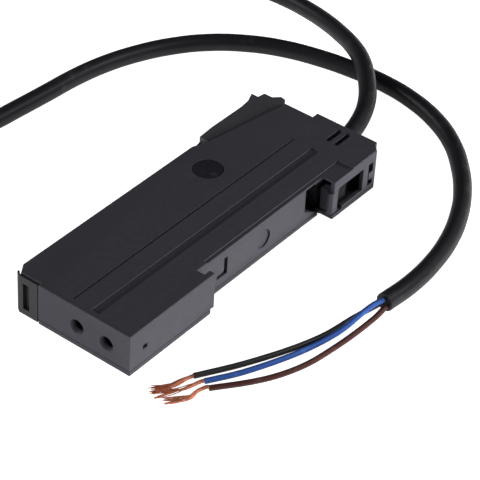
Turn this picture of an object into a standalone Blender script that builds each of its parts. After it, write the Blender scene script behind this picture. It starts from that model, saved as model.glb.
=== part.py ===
"""Fibre optic sensor amplifier, lying on its wide side, with its pre-wired cable.

The body is described in its own datum: u runs from the fibre end to the cable end, v from the
rail feet to the display side, and z through the thickness. The datum empty puts the middle of
the body's outline over the world origin. All sizes are in metres.
"""
import math

import bmesh
import bpy
from mathutils import Matrix, Vector

# Clearances
SEAM = 0.00012          # between the case and the side lid
FIT = 0.0002            # between pieces that slide or turn on each other
SEAT = 0.0003           # between pieces that rest on each other
PIN_FIT = 0.0001        # around a hinge pin
OVERCUT = 0.001         # how far a cutter runs past the face that it cuts

# Body
THICKNESS = 0.0090
WALL = 0.0012
LID_THICKNESS = 0.0010
LID_RIB_HEIGHT = 0.0009
LID_RIB_WIDTH = 0.0008
EDGE_ROUND = 0.00022

# Rail seat, for a 35 mm rail
FRONT_FOOT = 0.0234
RAIL_GAP = 0.0360
RAIL_DEPTH = 0.0029
RAIL_LIP = 0.0013
RAIL_UNDERCUT = 0.0015
REAR_FOOT = 0.0136
TAIL = 0.0006
FOOT_WALL = 0.0008
HEEL = 0.0012
SOLE_SETBACK = 0.0009

# Cable block at the rear end
BLOCK_STANDOFF = 0.0016
BLOCK_LOW = 0.0016
BLOCK_HIGH = 0.0160
REAR_WALL = 0.0014
CABLE_HEIGHT = 0.0100
CABLE_DIAMETER = 0.0037
GLAND_WALL = 0.0006
GLAND_FLANGE = 0.0008
GLAND_FLANGE_LENGTH = 0.0010
GLAND_NOSE = 0.0012

# Fibre end
FIRST_FIBRE = 0.0054
FIBRE_PITCH = 0.0068
FIBRE_BORE = 0.0024
FIBRE_MOUTH = 0.0031
MOUTH_DEPTH = 0.0006

# Lever bay and display face
LEVER_FLOOR = 0.02135
LEVER_HEIGHT = 0.00595
LEVER_FLANGE = 0.00045
LEVER_PIVOT_IN = 0.0055
LEVER_PIVOT_DOWN = 0.0023
LEVER_RADIUS = 0.0021
LEVER_LOBE = 0.0008
CORNER_RUN = 0.0020
CORNER_DROP = 0.0013
RIDGE_REACH = 0.0010
RIDGE_RISE = 0.00085
FINGER_SLOT_RISE = 0.0022
FINGER_SLOT_WIDTH = 0.00145
FINGER_SLOT_DEPTH = 0.0010
SHELF = 0.00115
PIN_DIAMETER = 0.0012

# Fibre clamp
CLAMP_IN = 0.0020
CLAMP_LENGTH = 0.0054
CLAMP_WIDTH = 0.0044
CLAMP_STROKE = 0.0004
CLAMP_BORE = 0.0029
CLAMP_STEM = 0.0012
CLAMP_END = 0.0022

# Optics behind the clamp
OPTICS_IN = 0.0126
OPTICS_LENGTH = 0.0074
OPTICS_END = 0.0023
OPTICS_POCKET = 0.0036
CAN_DIAMETER = 0.0036
CAN_LENGTH = 0.0038
CAN_FLANGE = 0.0004

# Cover over the keys
COVER_HINGE_SETBACK = 0.0224
HINGE_DOWN = 0.0013
DECK_RUN = 0.0201
DECK_DROP = 0.0034
HINGE_RAMP_RUN = 0.0034
HINGE_RAMP_DROP = 0.0012
COVER_KNUCKLE = 0.0011
COVER_SIDE_INSET = 0.00025
COVER_WALL = 0.0009
COVER_RISE = 0.00135
COVER_EASE = 0.0067
GRIP_RISE = 0.0026
GRIP_INSET = 0.0016
GRIP_STEP = 0.00175
GRIP_DROP = 0.0019
GRIP_LEAN = 0.0003
GRIP_RAMP = 0.0047
HINGE_PIN = 0.0010
HINGE_BAY_BEFORE = 0.0026
HINGE_BAY_AFTER = 0.0026

# Display
WINDOW_FROM_BAY = 0.0052
WINDOW_TO_HINGE = 0.0022
WINDOW_WIDTH = 0.0052
WINDOW_THICKNESS = 0.0008
WINDOW_LEDGE = 0.0005
MODULE_WIDTH = 0.0042
MODULE_HEIGHT = 0.0050
LAMP_LENGTH = 0.0013

# Keys on the deck, measured along it from its start
JOG_PLACE = 0.0072
JOG_LENGTH = 0.0066
JOG_WIDTH = 0.0042
JOG_HEIGHT = 0.0010
KEY_PLACE = 0.0143
KEY_DIAMETER = 0.0030
KEY_HEIGHT = 0.0009
KEY_GAP = 0.0003
SWITCH_HEIGHT = 0.0015
SWITCH_DEPTH = 0.0026

# Circuit boards
BOARD_THICKNESS = 0.0008
CHIP_SIZE = 0.0065
CHIP_HEIGHT = 0.0012

# Side face
SIDE_WINDOW = 0.0061
SIDE_WINDOW_FROM_REAR_FOOT = 0.0128
SIDE_WINDOW_HEIGHT = 0.0205
SIDE_WINDOW_THICKNESS = 0.0008
SLOT_LENGTH = 0.0048
SLOT_WIDTH = 0.0010
SLOT_PITCH = 0.0020
SLOT_DEPTH = 0.0014
SLOT_FROM_REAR = 0.0014
SLOT_RISE = 0.0024
BLADE_THICKNESS = 0.0003
GROOVE_DEPTH = 0.0002
GROOVE_WIDTH = 0.0004
GROOVE_HEIGHT = 0.0142
CHANNEL_LOW = 0.0081
CHANNEL_HIGH = 0.0099
GROOVE_END_MARGIN = 0.0083

# Rail hook
HOOK_TRAVEL = 0.0014
HOOK_NOSE = 0.0007
HOOK_LIP = 0.0012
HOOK_HEIGHT = 0.0033
HOOK_WIDTH = 0.0049
HOOK_BLOCK = 0.0016
HOOK_ARM = 0.0088
HOOK_ARM_THICKNESS = 0.0010
POCKET_LENGTH = 0.0052
POCKET_DEPTH = 0.0045
TOP_SKIN = 0.0006
WEDGE_LENGTH = 0.0037
WEDGE_HEIGHT = 0.0032
FINGER_IN = 0.0026
FINGER_LENGTH = 0.0027
FINGER_LOW = 0.0022
FINGER_HIGH = 0.0053
FOOT_WINDOW_IN = 0.0016
FOOT_WINDOW_LENGTH = 0.0079
FOOT_WINDOW_LOW = 0.0017
FOOT_WINDOW_HIGH = 0.0067
TAB_SLOT_LENGTH = 0.0015
TAB_SLOT_BAR = 0.0017
TAB_LOW = 0.0030
TAB_HIGH = 0.0046

# Mould marks on the rail side
FOOT_SLOT_IN = 0.0035
FOOT_SLOT_LENGTH = 0.0012
FOOT_SLOT_LOW = 0.0039
FOOT_SLOT_HEIGHT = 0.0010
BENT_SLOT_IN = 0.0043
BENT_SLOT_LENGTH = 0.0030
BENT_SLOT_WIDTH = 0.0010
BENT_SLOT_LOW = 0.0030
BENT_SLOT_HEIGHT = 0.0039
DIMPLE_RADIUS = 0.0020

# Cable
CORE_DIAMETER = 0.0011
STRAND_DIAMETER = 0.0007
CABLE_GAP = 0.0003
COIL_CENTRE = (-0.0040, 0.0935)
COIL_MEAN_RADIUS = 0.0216
COIL_TURNS_WIDE = 3
COIL_LAYERS = 4

# Sizes that follow from the ones above
REAR_FOOT_START = FRONT_FOOT + RAIL_GAP
REAR_FOOT_END = REAR_FOOT_START + REAR_FOOT
BODY_LENGTH = REAR_FOOT_END + TAIL
LENGTH = BODY_LENGTH + BLOCK_STANDOFF
DISPLAY_HEIGHT = LEVER_FLOOR + LEVER_HEIGHT
HEIGHT = DISPLAY_HEIGHT + GRIP_RISE
MIDDLE = THICKNESS / 2
CASE_LOW = LID_THICKNESS + SEAM
CASE_INSIDE = THICKNESS - WALL
INNER_LOW = LID_THICKNESS + FIT
FRONT_INSET = LEVER_FLANGE + FIT
FIBRES = (FIRST_FIBRE, FIRST_FIBRE + FIBRE_PITCH)
LEVER_PIVOT = (LEVER_PIVOT_IN, DISPLAY_HEIGHT - LEVER_PIVOT_DOWN)
LEVER_BAY_END = LEVER_PIVOT_IN + math.hypot(LEVER_RADIUS, LEVER_RADIUS) + SEAT
DECK_START = (BODY_LENGTH - DECK_RUN, DISPLAY_HEIGHT - HINGE_RAMP_DROP)
DECK_END = (BODY_LENGTH, DECK_START[1] - DECK_DROP)
DECK_ANGLE = -math.atan2(DECK_DROP, DECK_RUN)
COVER_HINGE = (BODY_LENGTH - COVER_HINGE_SETBACK, DISPLAY_HEIGHT - HINGE_DOWN)
HINGE_BAY = (COVER_HINGE[0] - HINGE_BAY_BEFORE, COVER_HINGE[0] + HINGE_BAY_AFTER)
HINGE_BAY_FLOOR = COVER_HINGE[1] - COVER_KNUCKLE - SEAT
INNER_REAR = BODY_LENGTH - REAR_WALL
POCKET_START = REAR_FOOT_START - POCKET_LENGTH
POCKET_ROOF = RAIL_DEPTH + POCKET_DEPTH
FOOT_ROOF = HOOK_HEIGHT + WALL
SLOT_HEIGHT = FOOT_ROOF + WALL + SLOT_RISE
WINDOW_START = LEVER_BAY_END + WINDOW_FROM_BAY
WINDOW_END = HINGE_BAY[0] - WINDOW_TO_HINGE


# Finishes: colour, roughness and metallic value
FINISHES = {
    "case": ((0.045, 0.045, 0.048), 0.55, 0.0),
    "cover": ((0.060, 0.060, 0.062), 0.35, 0.0),
    "smoke": ((0.020, 0.018, 0.025), 0.15, 0.0),
    "moulding": ((0.10, 0.10, 0.10), 0.60, 0.0),
    "module": ((0.30, 0.30, 0.28), 0.50, 0.0),
    "board": ((0.02, 0.12, 0.05), 0.50, 0.0),
    "lamp": ((0.65, 0.25, 0.05), 0.30, 0.0),
    "lens": ((0.55, 0.10, 0.08), 0.20, 0.0),
    "dark": ((0.02, 0.02, 0.02), 0.40, 0.0),
    "key": ((0.16, 0.16, 0.17), 0.50, 0.0),
    "metal": ((0.55, 0.55, 0.56), 0.30, 1.0),
    "brass": ((0.65, 0.48, 0.20), 0.35, 1.0),
    "cable": ((0.012, 0.012, 0.014), 0.45, 0.0),
    "black": ((0.02, 0.02, 0.02), 0.40, 0.0),
    "blue": ((0.03, 0.13, 0.60), 0.40, 0.0),
    "brown": ((0.14, 0.05, 0.03), 0.40, 0.0),
    "copper": ((0.80, 0.38, 0.22), 0.30, 1.0),
}


def material(name, finish):
    """A Principled material of its own for one piece."""
    colour, roughness, metallic = FINISHES[finish]
    made = bpy.data.materials.new(name)
    made.use_nodes = True
    shader = made.node_tree.nodes["Principled BSDF"]
    shader.inputs["Base Color"].default_value = (*colour, 1.0)
    shader.inputs["Roughness"].default_value = roughness
    shader.inputs["Metallic"].default_value = metallic
    made.diffuse_color = (*colour, 1.0)
    return made


def new_empty(name, place, parent=None, turn=0.0):
    """An empty that carries pieces: a datum, or the axis of a moving piece."""
    empty = bpy.data.objects.new(name, None)
    empty.location = place
    empty.rotation_euler = (0.0, 0.0, turn)
    empty.parent = parent
    bpy.context.scene.collection.objects.link(empty)
    return empty


def from_bmesh(name, shape, parent, finish=None):
    """Turn a bmesh into a named object, with flat faces kept sharp and round ones smooth."""
    bmesh.ops.recalc_face_normals(shape, faces=shape.faces)
    mesh = bpy.data.meshes.new(name)
    shape.to_mesh(mesh)
    shape.free()
    mesh.shade_smooth()
    mesh.set_sharp_from_angle(angle=math.radians(28.0))
    made = bpy.data.objects.new(name, mesh)
    made.parent = parent
    if finish:
        mesh.materials.append(material(name, finish))
    bpy.context.scene.collection.objects.link(made)
    return made


def prism(name, outline, low, high, parent, finish=None, along="Z", bevel=0.0, top_only=False):
    """An outline pushed out along an axis. Outline pairs are (u, v) along Z and (u, z) along Y."""
    place = {"Z": lambda a, b, c: (a, b, c), "Y": lambda a, b, c: (a, c, b)}
    shape = bmesh.new()
    base = shape.faces.new([shape.verts.new(place[along](a, b, low)) for a, b in outline])
    raised = bmesh.ops.extrude_face_region(shape, geom=[base])
    shift = Vector(place[along](0.0, 0.0, high - low))
    top = [item for item in raised["geom"] if isinstance(item, bmesh.types.BMVert)]
    bmesh.ops.translate(shape, verts=top, vec=shift)
    bmesh.ops.recalc_face_normals(shape, faces=shape.faces)
    if bevel:
        edges = list(shape.edges)
        if top_only:
            raised_verts = set(top)
            edges = [edge for edge in edges if all(vert in raised_verts for vert in edge.verts)]
        bmesh.ops.bevel(shape, geom=edges, offset=bevel, segments=2, affect="EDGES", profile=0.5)
    return from_bmesh(name, shape, parent, finish)


def box(name, low, high, parent, finish=None, bevel=0.0):
    """A box between two corners."""
    corners = [(low[0], low[1]), (high[0], low[1]), (high[0], high[1]), (low[0], high[1])]
    return prism(name, corners, low[2], high[2], parent, finish, bevel=bevel)


def turned(name, profile, centre, along, parent, finish=None, steps=32):
    """A profile of (distance along the axis, radius) spun round an axis through centre."""
    turn = {"Z": Matrix.Identity(3), "X": Matrix.Rotation(math.radians(90.0), 3, "Y"),
            "Y": Matrix.Rotation(math.radians(-90.0), 3, "X")}[along]
    shape = bmesh.new()
    rings = []
    for distance, radius in profile:
        angles = [2 * math.pi * step / steps for step in range(steps)]
        spots = [Vector((radius * math.cos(a), radius * math.sin(a), distance)) for a in angles]
        rings.append([shape.verts.new(turn @ spot + Vector(centre)) for spot in spots])
    for lower, upper in zip(rings, rings[1:]):
        for step in range(steps):
            after = (step + 1) % steps
            shape.faces.new((lower[step], lower[after], upper[after], upper[step]))
    shape.faces.new(rings[0][::-1])
    shape.faces.new(rings[-1])
    return from_bmesh(name, shape, parent, finish)


def tube_wall(name, outer, inner, centre, along, parent, finish, steps=32):
    """A turned sleeve: an outer profile and a plain inner radius between its ends."""
    sleeve = turned(name, outer, centre, along, parent, finish, steps)
    low = outer[0][0] - OVERCUT
    high = outer[-1][0] + OVERCUT
    core = turned(name + "_bore", [(low, inner), (high, inner)], centre, along, parent, steps=steps)
    cut(sleeve, core)
    return sleeve


def boolean(target, tool, operation):
    """Change a solid by another, which stays hidden."""
    change = target.modifiers.new(tool.name, "BOOLEAN")
    change.operation = operation
    change.solver = "EXACT"
    change.object = tool
    tool.hide_render = True
    tool.display_type = "WIRE"


def cut(target, *tools):
    """Take each tool away from the target."""
    for tool in tools:
        boolean(target, tool, "DIFFERENCE")


def join(target, *tools):
    """Add each tool to the target."""
    for tool in tools:
        boolean(target, tool, "UNION")


def inset(outline, distance):
    """The same outline moved inwards by a distance, for an anticlockwise outline."""
    moved = []
    for index, here in enumerate(outline):
        before = Vector(outline[index - 1])
        here = Vector(here)
        after = Vector(outline[(index + 1) % len(outline)])
        arriving = (here - before).normalized()
        leaving = (after - here).normalized()
        side_a = Vector((-arriving.y, arriving.x))
        side_b = Vector((-leaving.y, leaving.x))
        bisector = (side_a + side_b).normalized()
        moved.append(tuple(here + bisector * distance / bisector.dot(side_a)))
    return moved


def arc(centre, radius, start, end, count):
    """Points of an arc, angles in degrees."""
    angles = [math.radians(start + (end - start) * step / (count - 1)) for step in range(count)]
    return [(centre[0] + radius * math.cos(a), centre[1] + radius * math.sin(a)) for a in angles]


def deck_point(along, out):
    """A point over the sloping key deck: distance along it and height above it."""
    cosine, sine = math.cos(DECK_ANGLE), math.sin(DECK_ANGLE)
    return (DECK_START[0] + along * cosine - out * sine, DECK_START[1] + along * sine + out * cosine)


def body_outline(foot_setback):
    """The body's side view, anticlockwise from the lower front corner."""
    return [
        (0.0, 0.0),
        (FRONT_FOOT - foot_setback, 0.0),
        (FRONT_FOOT, RAIL_LIP),
        (FRONT_FOOT - RAIL_UNDERCUT, RAIL_LIP),
        (FRONT_FOOT - RAIL_UNDERCUT, RAIL_DEPTH),
        (REAR_FOOT_START, RAIL_DEPTH),
        (REAR_FOOT_START, 0.0),
        (REAR_FOOT_END, 0.0),
        (REAR_FOOT_END + HEEL, HEEL),
        (LENGTH, BLOCK_LOW),
        (LENGTH, BLOCK_HIGH),
        (BODY_LENGTH, BLOCK_HIGH),
        DECK_END,
        DECK_START,
        (DECK_START[0] - HINGE_RAMP_RUN, DISPLAY_HEIGHT),
        (FRONT_INSET + CORNER_RUN, DISPLAY_HEIGHT),
        (FRONT_INSET, DISPLAY_HEIGHT - CORNER_DROP),
        (FRONT_INSET, LEVER_FLOOR),
        (0.0, LEVER_FLOOR),
    ]


def cavity_outline():
    """The hollow inside the body: boards, optics and display share it."""
    undercut_wall = FRONT_FOOT - RAIL_UNDERCUT - WALL
    deck_inner = deck_point(0.0, -WALL)
    deck_inner_end = deck_point((INNER_REAR - DECK_START[0]) / math.cos(DECK_ANGLE), -WALL)
    trough = HINGE_BAY_FLOOR - FOOT_WALL
    return [
        (WALL, WALL),
        (undercut_wall, WALL),
        (undercut_wall, RAIL_DEPTH + WALL),
        (POCKET_START - WALL, RAIL_DEPTH + WALL),
        (POCKET_START - WALL, POCKET_ROOF + WALL),
        (REAR_FOOT_START + WALL, POCKET_ROOF + WALL),
        (REAR_FOOT_START + WALL, FOOT_ROOF + WALL),
        (INNER_REAR, FOOT_ROOF + WALL),
        (INNER_REAR, deck_inner_end[1]),
        (HINGE_BAY[1] + WALL, deck_inner[1]),
        (HINGE_BAY[1] + WALL, trough),
        (HINGE_BAY[0] - WALL, trough),
        (HINGE_BAY[0] - WALL, DISPLAY_HEIGHT - WALL),
        (LEVER_BAY_END + WALL, DISPLAY_HEIGHT - WALL),
        (LEVER_BAY_END + WALL, LEVER_FLOOR - SHELF),
        (WALL, LEVER_FLOOR - SHELF),
    ]


def gland_bore(wall_gap):
    """Turned profile for the cable gland, or with a gap for the bore that holds it."""
    inner = INNER_REAR + SEAT
    neck = CABLE_DIAMETER / 2 + GLAND_WALL + wall_gap
    collar = neck + GLAND_FLANGE
    start = inner + GLAND_FLANGE_LENGTH - wall_gap
    return start, neck, collar


def build_case(datum, deck):
    """The moulded box: one wide side, the end walls, the rail feet and the cable block."""
    case = prism("main_case", body_outline(0.0), CASE_LOW, THICKNESS, datum, "case",
                 bevel=EDGE_ROUND, top_only=True)
    below = CASE_LOW - OVERCUT
    above = THICKNESS + OVERCUT
    cut(case, prism("case_hollow", cavity_outline(), below, CASE_INSIDE, datum))
    cut(case, box("lever_bay", (-OVERCUT, LEVER_FLOOR, below),
                  (LEVER_BAY_END, HEIGHT, CASE_INSIDE), datum))
    cut(case, box("hinge_bay", (HINGE_BAY[0], HINGE_BAY_FLOOR, below),
                  (HINGE_BAY[1], HEIGHT, CASE_INSIDE), datum))
    cut_display_face(case, datum)
    cut_key_holes(case, deck)
    cut_fibre_end(case, datum)
    cut_rail_side(case, datum)
    cut_cable_end(case, datum)
    cut_side_face(case, datum, above)
    hole = PIN_DIAMETER / 2 + PIN_FIT
    cut(case, turned("lever_pin_hole", [(below, hole), (THICKNESS - WALL / 2, hole)],
                     (*LEVER_PIVOT, 0.0), "Z", datum, steps=20))
    hinge_hole = HINGE_PIN / 2 + PIN_FIT
    cut(case, turned("hinge_pin_hole", [(below, hinge_hole), (THICKNESS - WALL / 2, hinge_hole)],
                     (*COVER_HINGE, 0.0), "Z", datum, steps=20))
    return case


def cut_display_face(case, datum):
    """The window's seat with its opening, and the lamp's hole."""
    clear = WINDOW_WIDTH / 2 - WINDOW_LEDGE
    sill = DISPLAY_HEIGHT - WINDOW_THICKNESS - FIT
    cut(case, box("window_opening", (WINDOW_START + WINDOW_LEDGE, DISPLAY_HEIGHT - 2 * WALL, MIDDLE - clear),
                  (WINDOW_END - WINDOW_LEDGE, HEIGHT, MIDDLE + clear), datum))
    seat = WINDOW_WIDTH / 2 + FIT
    cut(case, box("window_seat", (WINDOW_START - FIT, sill, MIDDLE - seat),
                  (WINDOW_END + FIT, HEIGHT, MIDDLE + seat), datum))
    lamp = lamp_span(FIT)
    cut(case, box("lamp_hole", (lamp[0], DISPLAY_HEIGHT - 2 * WALL, MIDDLE - lamp[2]),
                  (lamp[1], HEIGHT, MIDDLE + lamp[2]), datum))


def lamp_span(gap):
    """Start, end and half width of the output lamp, with a gap round it."""
    middle = (LEVER_BAY_END + WINDOW_START) / 2
    half = LAMP_LENGTH / 2 + gap
    return middle - half, middle + half, WINDOW_WIDTH / 4 + gap


def cut_key_holes(case, deck):
    """The two holes in the sloping deck, one for the jog switch and one for the round key."""
    half = JOG_LENGTH / 2 + SEAT
    side = JOG_WIDTH / 2 + SEAT
    deep = WALL + OVERCUT
    cut(case, box("jog_hole", (JOG_PLACE - half, -deep, MIDDLE - side),
                  (JOG_PLACE + half, OVERCUT, MIDDLE + side), deck))
    radius = KEY_DIAMETER / 2 + FIT
    cut(case, turned("key_hole", [(-deep, radius), (OVERCUT, radius)],
                     (KEY_PLACE, 0.0, MIDDLE), "Y", deck, steps=28))


def cut_fibre_end(case, datum):
    """The two countersunk fibre bores, and the slot that guides the clamp's stem."""
    bore = FIBRE_BORE / 2
    mouth = FIBRE_MOUTH / 2
    flare = mouth + OVERCUT * (mouth - bore) / MOUTH_DEPTH
    for number, height in enumerate(FIBRES, start=1):
        profile = [(-OVERCUT, flare), (MOUTH_DEPTH, bore), (WALL + OVERCUT, bore)]
        cut(case, turned(f"fibre_bore_{number}", profile, (0.0, height, MIDDLE), "X", datum))
    half = CLAMP_STEM / 2 + FIT
    cut(case, box("stem_slot", (LEVER_PIVOT_IN - half, LEVER_FLOOR - SHELF - OVERCUT, MIDDLE - 2 * half),
                  (LEVER_PIVOT_IN + half, LEVER_FLOOR + OVERCUT, MIDDLE + 2 * half), datum))


def cut_rail_side(case, datum):
    """The hook's pocket, the hollow rear foot with its windows, and the small marks."""
    below = CASE_LOW - OVERCUT
    roof = THICKNESS - TOP_SKIN
    wedge_end = POCKET_START + WEDGE_LENGTH
    outline = [(wedge_end, below), (REAR_FOOT_START, below), (REAR_FOOT_START, roof), (POCKET_START, roof),
               (POCKET_START, WEDGE_HEIGHT), (wedge_end, CASE_LOW + FIT)]
    cut(case, prism("hook_pocket", outline, -OVERCUT, POCKET_ROOF, datum, along="Y"))
    foot_inner = REAR_FOOT_END - FOOT_WALL
    cut(case, box("foot_hollow", (REAR_FOOT_START - OVERCUT, FOOT_WALL, below),
                  (foot_inner, FOOT_ROOF, roof), datum))
    window = REAR_FOOT_START + FOOT_WINDOW_IN
    nose_top = INNER_LOW + HOOK_WIDTH + FIT
    cut(case, box("nose_slot", (REAR_FOOT_START - OVERCUT, -OVERCUT, below),
                  (REAR_FOOT_START + HOOK_BLOCK + HOOK_TRAVEL, 2 * FOOT_WALL, nose_top), datum))
    cut(case, box("foot_window", (window, -OVERCUT, FOOT_WINDOW_LOW),
                  (window + FOOT_WINDOW_LENGTH, 2 * FOOT_WALL, FOOT_WINDOW_HIGH), datum))
    slot = window + FOOT_WINDOW_LENGTH + TAB_SLOT_BAR
    slot_end = slot + TAB_SLOT_LENGTH
    for name, end, low, high in (("tab_slot_low", slot_end, FOOT_WINDOW_LOW, TAB_LOW),
                                 ("tab_slot_high", slot_end, TAB_HIGH, FOOT_WINDOW_HIGH),
                                 ("tab_slot_side", slot + SEAT, TAB_LOW - FIT, TAB_HIGH + FIT)):
        cut(case, box(name, (slot, -OVERCUT, low), (end, 2 * FOOT_WALL, high), datum))
    mark_rail_side(case, datum)


def mark_rail_side(case, datum):
    """Shallow mould features: a slot in the front foot, and a bent slot and a dimple in the seat."""
    cut(case, box("foot_slot", (FOOT_SLOT_IN, -OVERCUT, FOOT_SLOT_LOW),
                  (FOOT_SLOT_IN + FOOT_SLOT_LENGTH, WALL / 2, FOOT_SLOT_LOW + FOOT_SLOT_HEIGHT), datum))
    start = FRONT_FOOT + BENT_SLOT_IN
    end = start + BENT_SLOT_LENGTH
    top = BENT_SLOT_LOW + BENT_SLOT_HEIGHT
    corner = BENT_SLOT_LOW + BENT_SLOT_WIDTH
    outline = [(start, BENT_SLOT_LOW), (end, BENT_SLOT_LOW), (end, top), (end - BENT_SLOT_WIDTH, top),
               (end - BENT_SLOT_WIDTH, corner), (start, corner)]
    cut(case, prism("bent_slot", outline, RAIL_DEPTH - OVERCUT, RAIL_DEPTH + WALL / 2, datum, along="Y"))
    dimple = [(RAIL_DEPTH - OVERCUT, DIMPLE_RADIUS), (RAIL_DEPTH + WALL / 4, DIMPLE_RADIUS)]
    cut(case, turned("seat_dimple", dimple, (FRONT_FOOT + RAIL_GAP / 2, 0.0, MIDDLE), "Y", datum))


def cut_cable_end(case, datum):
    """The stepped bore that traps the cable gland."""
    start, neck, collar = gland_bore(FIT)
    profile = [(INNER_REAR - OVERCUT, collar), (start + 2 * FIT, collar),
               (start + 2 * FIT, neck), (LENGTH + OVERCUT, neck)]
    cut(case, turned("gland_bore", profile, (0.0, CABLE_HEIGHT, MIDDLE), "X", datum))


def cut_side_face(case, datum, above):
    """Round light window, two contact slots, and the long shallow relief lines."""
    window = side_window_place()
    ledge = CASE_INSIDE - OVERCUT
    seat = THICKNESS - SIDE_WINDOW_THICKNESS - FIT
    radius = SIDE_WINDOW / 2
    profile = [(ledge, radius - WINDOW_LEDGE), (seat, radius - WINDOW_LEDGE), (seat, radius), (above, radius)]
    cut(case, turned("side_window_seat", profile, (*window, 0.0), "Z", datum, steps=40))
    floor = THICKNESS - SLOT_DEPTH
    for number in (1, 2):
        low = SLOT_HEIGHT + (number - 1.5) * SLOT_PITCH - SLOT_WIDTH / 2
        rear = LENGTH - SLOT_FROM_REAR
        cut(case, box(f"contact_slot_{number}", (rear - SLOT_LENGTH, low, floor),
                      (rear, low + SLOT_WIDTH, above), datum))
    end = BODY_LENGTH - GROOVE_END_MARGIN
    shallow = THICKNESS - GROOVE_DEPTH
    cut(case, box("long_groove", (WALL, GROOVE_HEIGHT - GROOVE_WIDTH / 2, shallow),
                  (end, GROOVE_HEIGHT + GROOVE_WIDTH / 2, above), datum))
    cut(case, box("long_channel", (WALL, CHANNEL_LOW, shallow), (end, CHANNEL_HIGH, above), datum))
    cut(case, box("seat_step", (FRONT_FOOT + WALL, -OVERCUT, shallow),
                  (end, RAIL_DEPTH + FOOT_WALL, above), datum))


def side_window_place():
    """Centre of the round light windows on both wide sides."""
    return REAR_FOOT_START - SIDE_WINDOW_FROM_REAR_FOOT, SIDE_WINDOW_HEIGHT


def build_lid(datum):
    """The thin wide side that closes the case, with a rib that locates it."""
    lid = prism("side_lid", body_outline(SOLE_SETBACK), 0.0, LID_THICKNESS, datum, "case",
                bevel=EDGE_ROUND / 2)
    rib_outline = inset(cavity_outline(), FIT)
    top = LID_THICKNESS + LID_RIB_HEIGHT
    rib = prism("lid_rib", rib_outline, LID_THICKNESS / 2, top, datum)
    hollow = prism("rib_hollow", inset(rib_outline, LID_RIB_WIDTH), 0.0, top + OVERCUT, datum)
    cut(rib, hollow)
    join(lid, rib)
    notch = REAR_FOOT_START - HOOK_NOSE - FIT / 2
    cut(lid, box("hook_notch", (notch, RAIL_DEPTH - OVERCUT, -OVERCUT),
                 (REAR_FOOT_START - FIT / 2, RAIL_DEPTH + FOOT_WALL, LID_THICKNESS + OVERCUT), datum))
    radius = SIDE_WINDOW / 2
    seat = FIT + SIDE_WINDOW_THICKNESS / 2
    profile = [(-OVERCUT, radius), (seat, radius), (seat, radius - WINDOW_LEDGE),
               (LID_THICKNESS + OVERCUT, radius - WINDOW_LEDGE)]
    cut(lid, turned("lid_window_seat", profile, (*side_window_place(), 0.0), "Z", datum, steps=40))
    for name, place, size in (("lid_lever_hole", LEVER_PIVOT, PIN_DIAMETER),
                              ("lid_hinge_hole", COVER_HINGE, HINGE_PIN)):
        hole = size / 2 + PIN_FIT
        cut(lid, turned(name, [(LID_THICKNESS / 2, hole), (LID_THICKNESS + OVERCUT, hole)],
                        (*place, 0.0), "Z", datum, steps=20))
    return lid


def build_side_windows(datum):
    """The two discs that pass light between neighbouring amplifiers."""
    place = (*side_window_place(), 0.0)
    radius = SIDE_WINDOW / 2 - PIN_FIT
    top = THICKNESS - FIT / 4
    turned("side_window_upper", [(top - SIDE_WINDOW_THICKNESS, radius), (top, radius)], place, "Z",
           datum, "smoke", steps=40)
    turned("side_window_lower", [(FIT / 4, radius), (SIDE_WINDOW_THICKNESS / 2, radius)], place, "Z",
           datum, "smoke", steps=40)


def build_display(datum):
    """Window, digit module, lamp and the board that carries them."""
    half = WINDOW_WIDTH / 2
    box("display_window", (WINDOW_START, DISPLAY_HEIGHT - WINDOW_THICKNESS, MIDDLE - half),
        (WINDOW_END, DISPLAY_HEIGHT, MIDDLE + half), datum, "smoke", bevel=EDGE_ROUND / 2)
    module = MODULE_WIDTH / 2
    top = DISPLAY_HEIGHT - WALL - SEAT
    digits = box("display_module", (WINDOW_START + FIT, top - MODULE_HEIGHT, MIDDLE - module),
                 (WINDOW_END - FIT, top, MIDDLE + module), datum, "module")
    cells = 8
    length = (WINDOW_END - WINDOW_START - 2 * FIT) / cells
    for number in range(cells):
        start = WINDOW_START + FIT + number * length
        cell = box(f"digit_cell_{number}", (start + WINDOW_LEDGE, top - FIT, MIDDLE - module + WINDOW_LEDGE),
                   (start + length - WINDOW_LEDGE, top + OVERCUT, MIDDLE + module - WINDOW_LEDGE), datum)
        cut(digits, cell)
    board_top = top - MODULE_HEIGHT - SEAT
    reach = CASE_INSIDE - SEAT
    board_low = LID_THICKNESS + LID_RIB_HEIGHT + FIT
    box("display_board", (LEVER_BAY_END + WALL + SEAT, board_top - BOARD_THICKNESS, board_low),
        (HINGE_BAY[0] - WALL - SEAT, board_top, reach), datum, "board")
    lamp = lamp_span(0.0)
    box("output_lamp", (lamp[0], board_top + SEAT, MIDDLE - lamp[2]),
        (lamp[1], DISPLAY_HEIGHT, MIDDLE + lamp[2]), datum, "lamp", bevel=EDGE_ROUND / 2)


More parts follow.
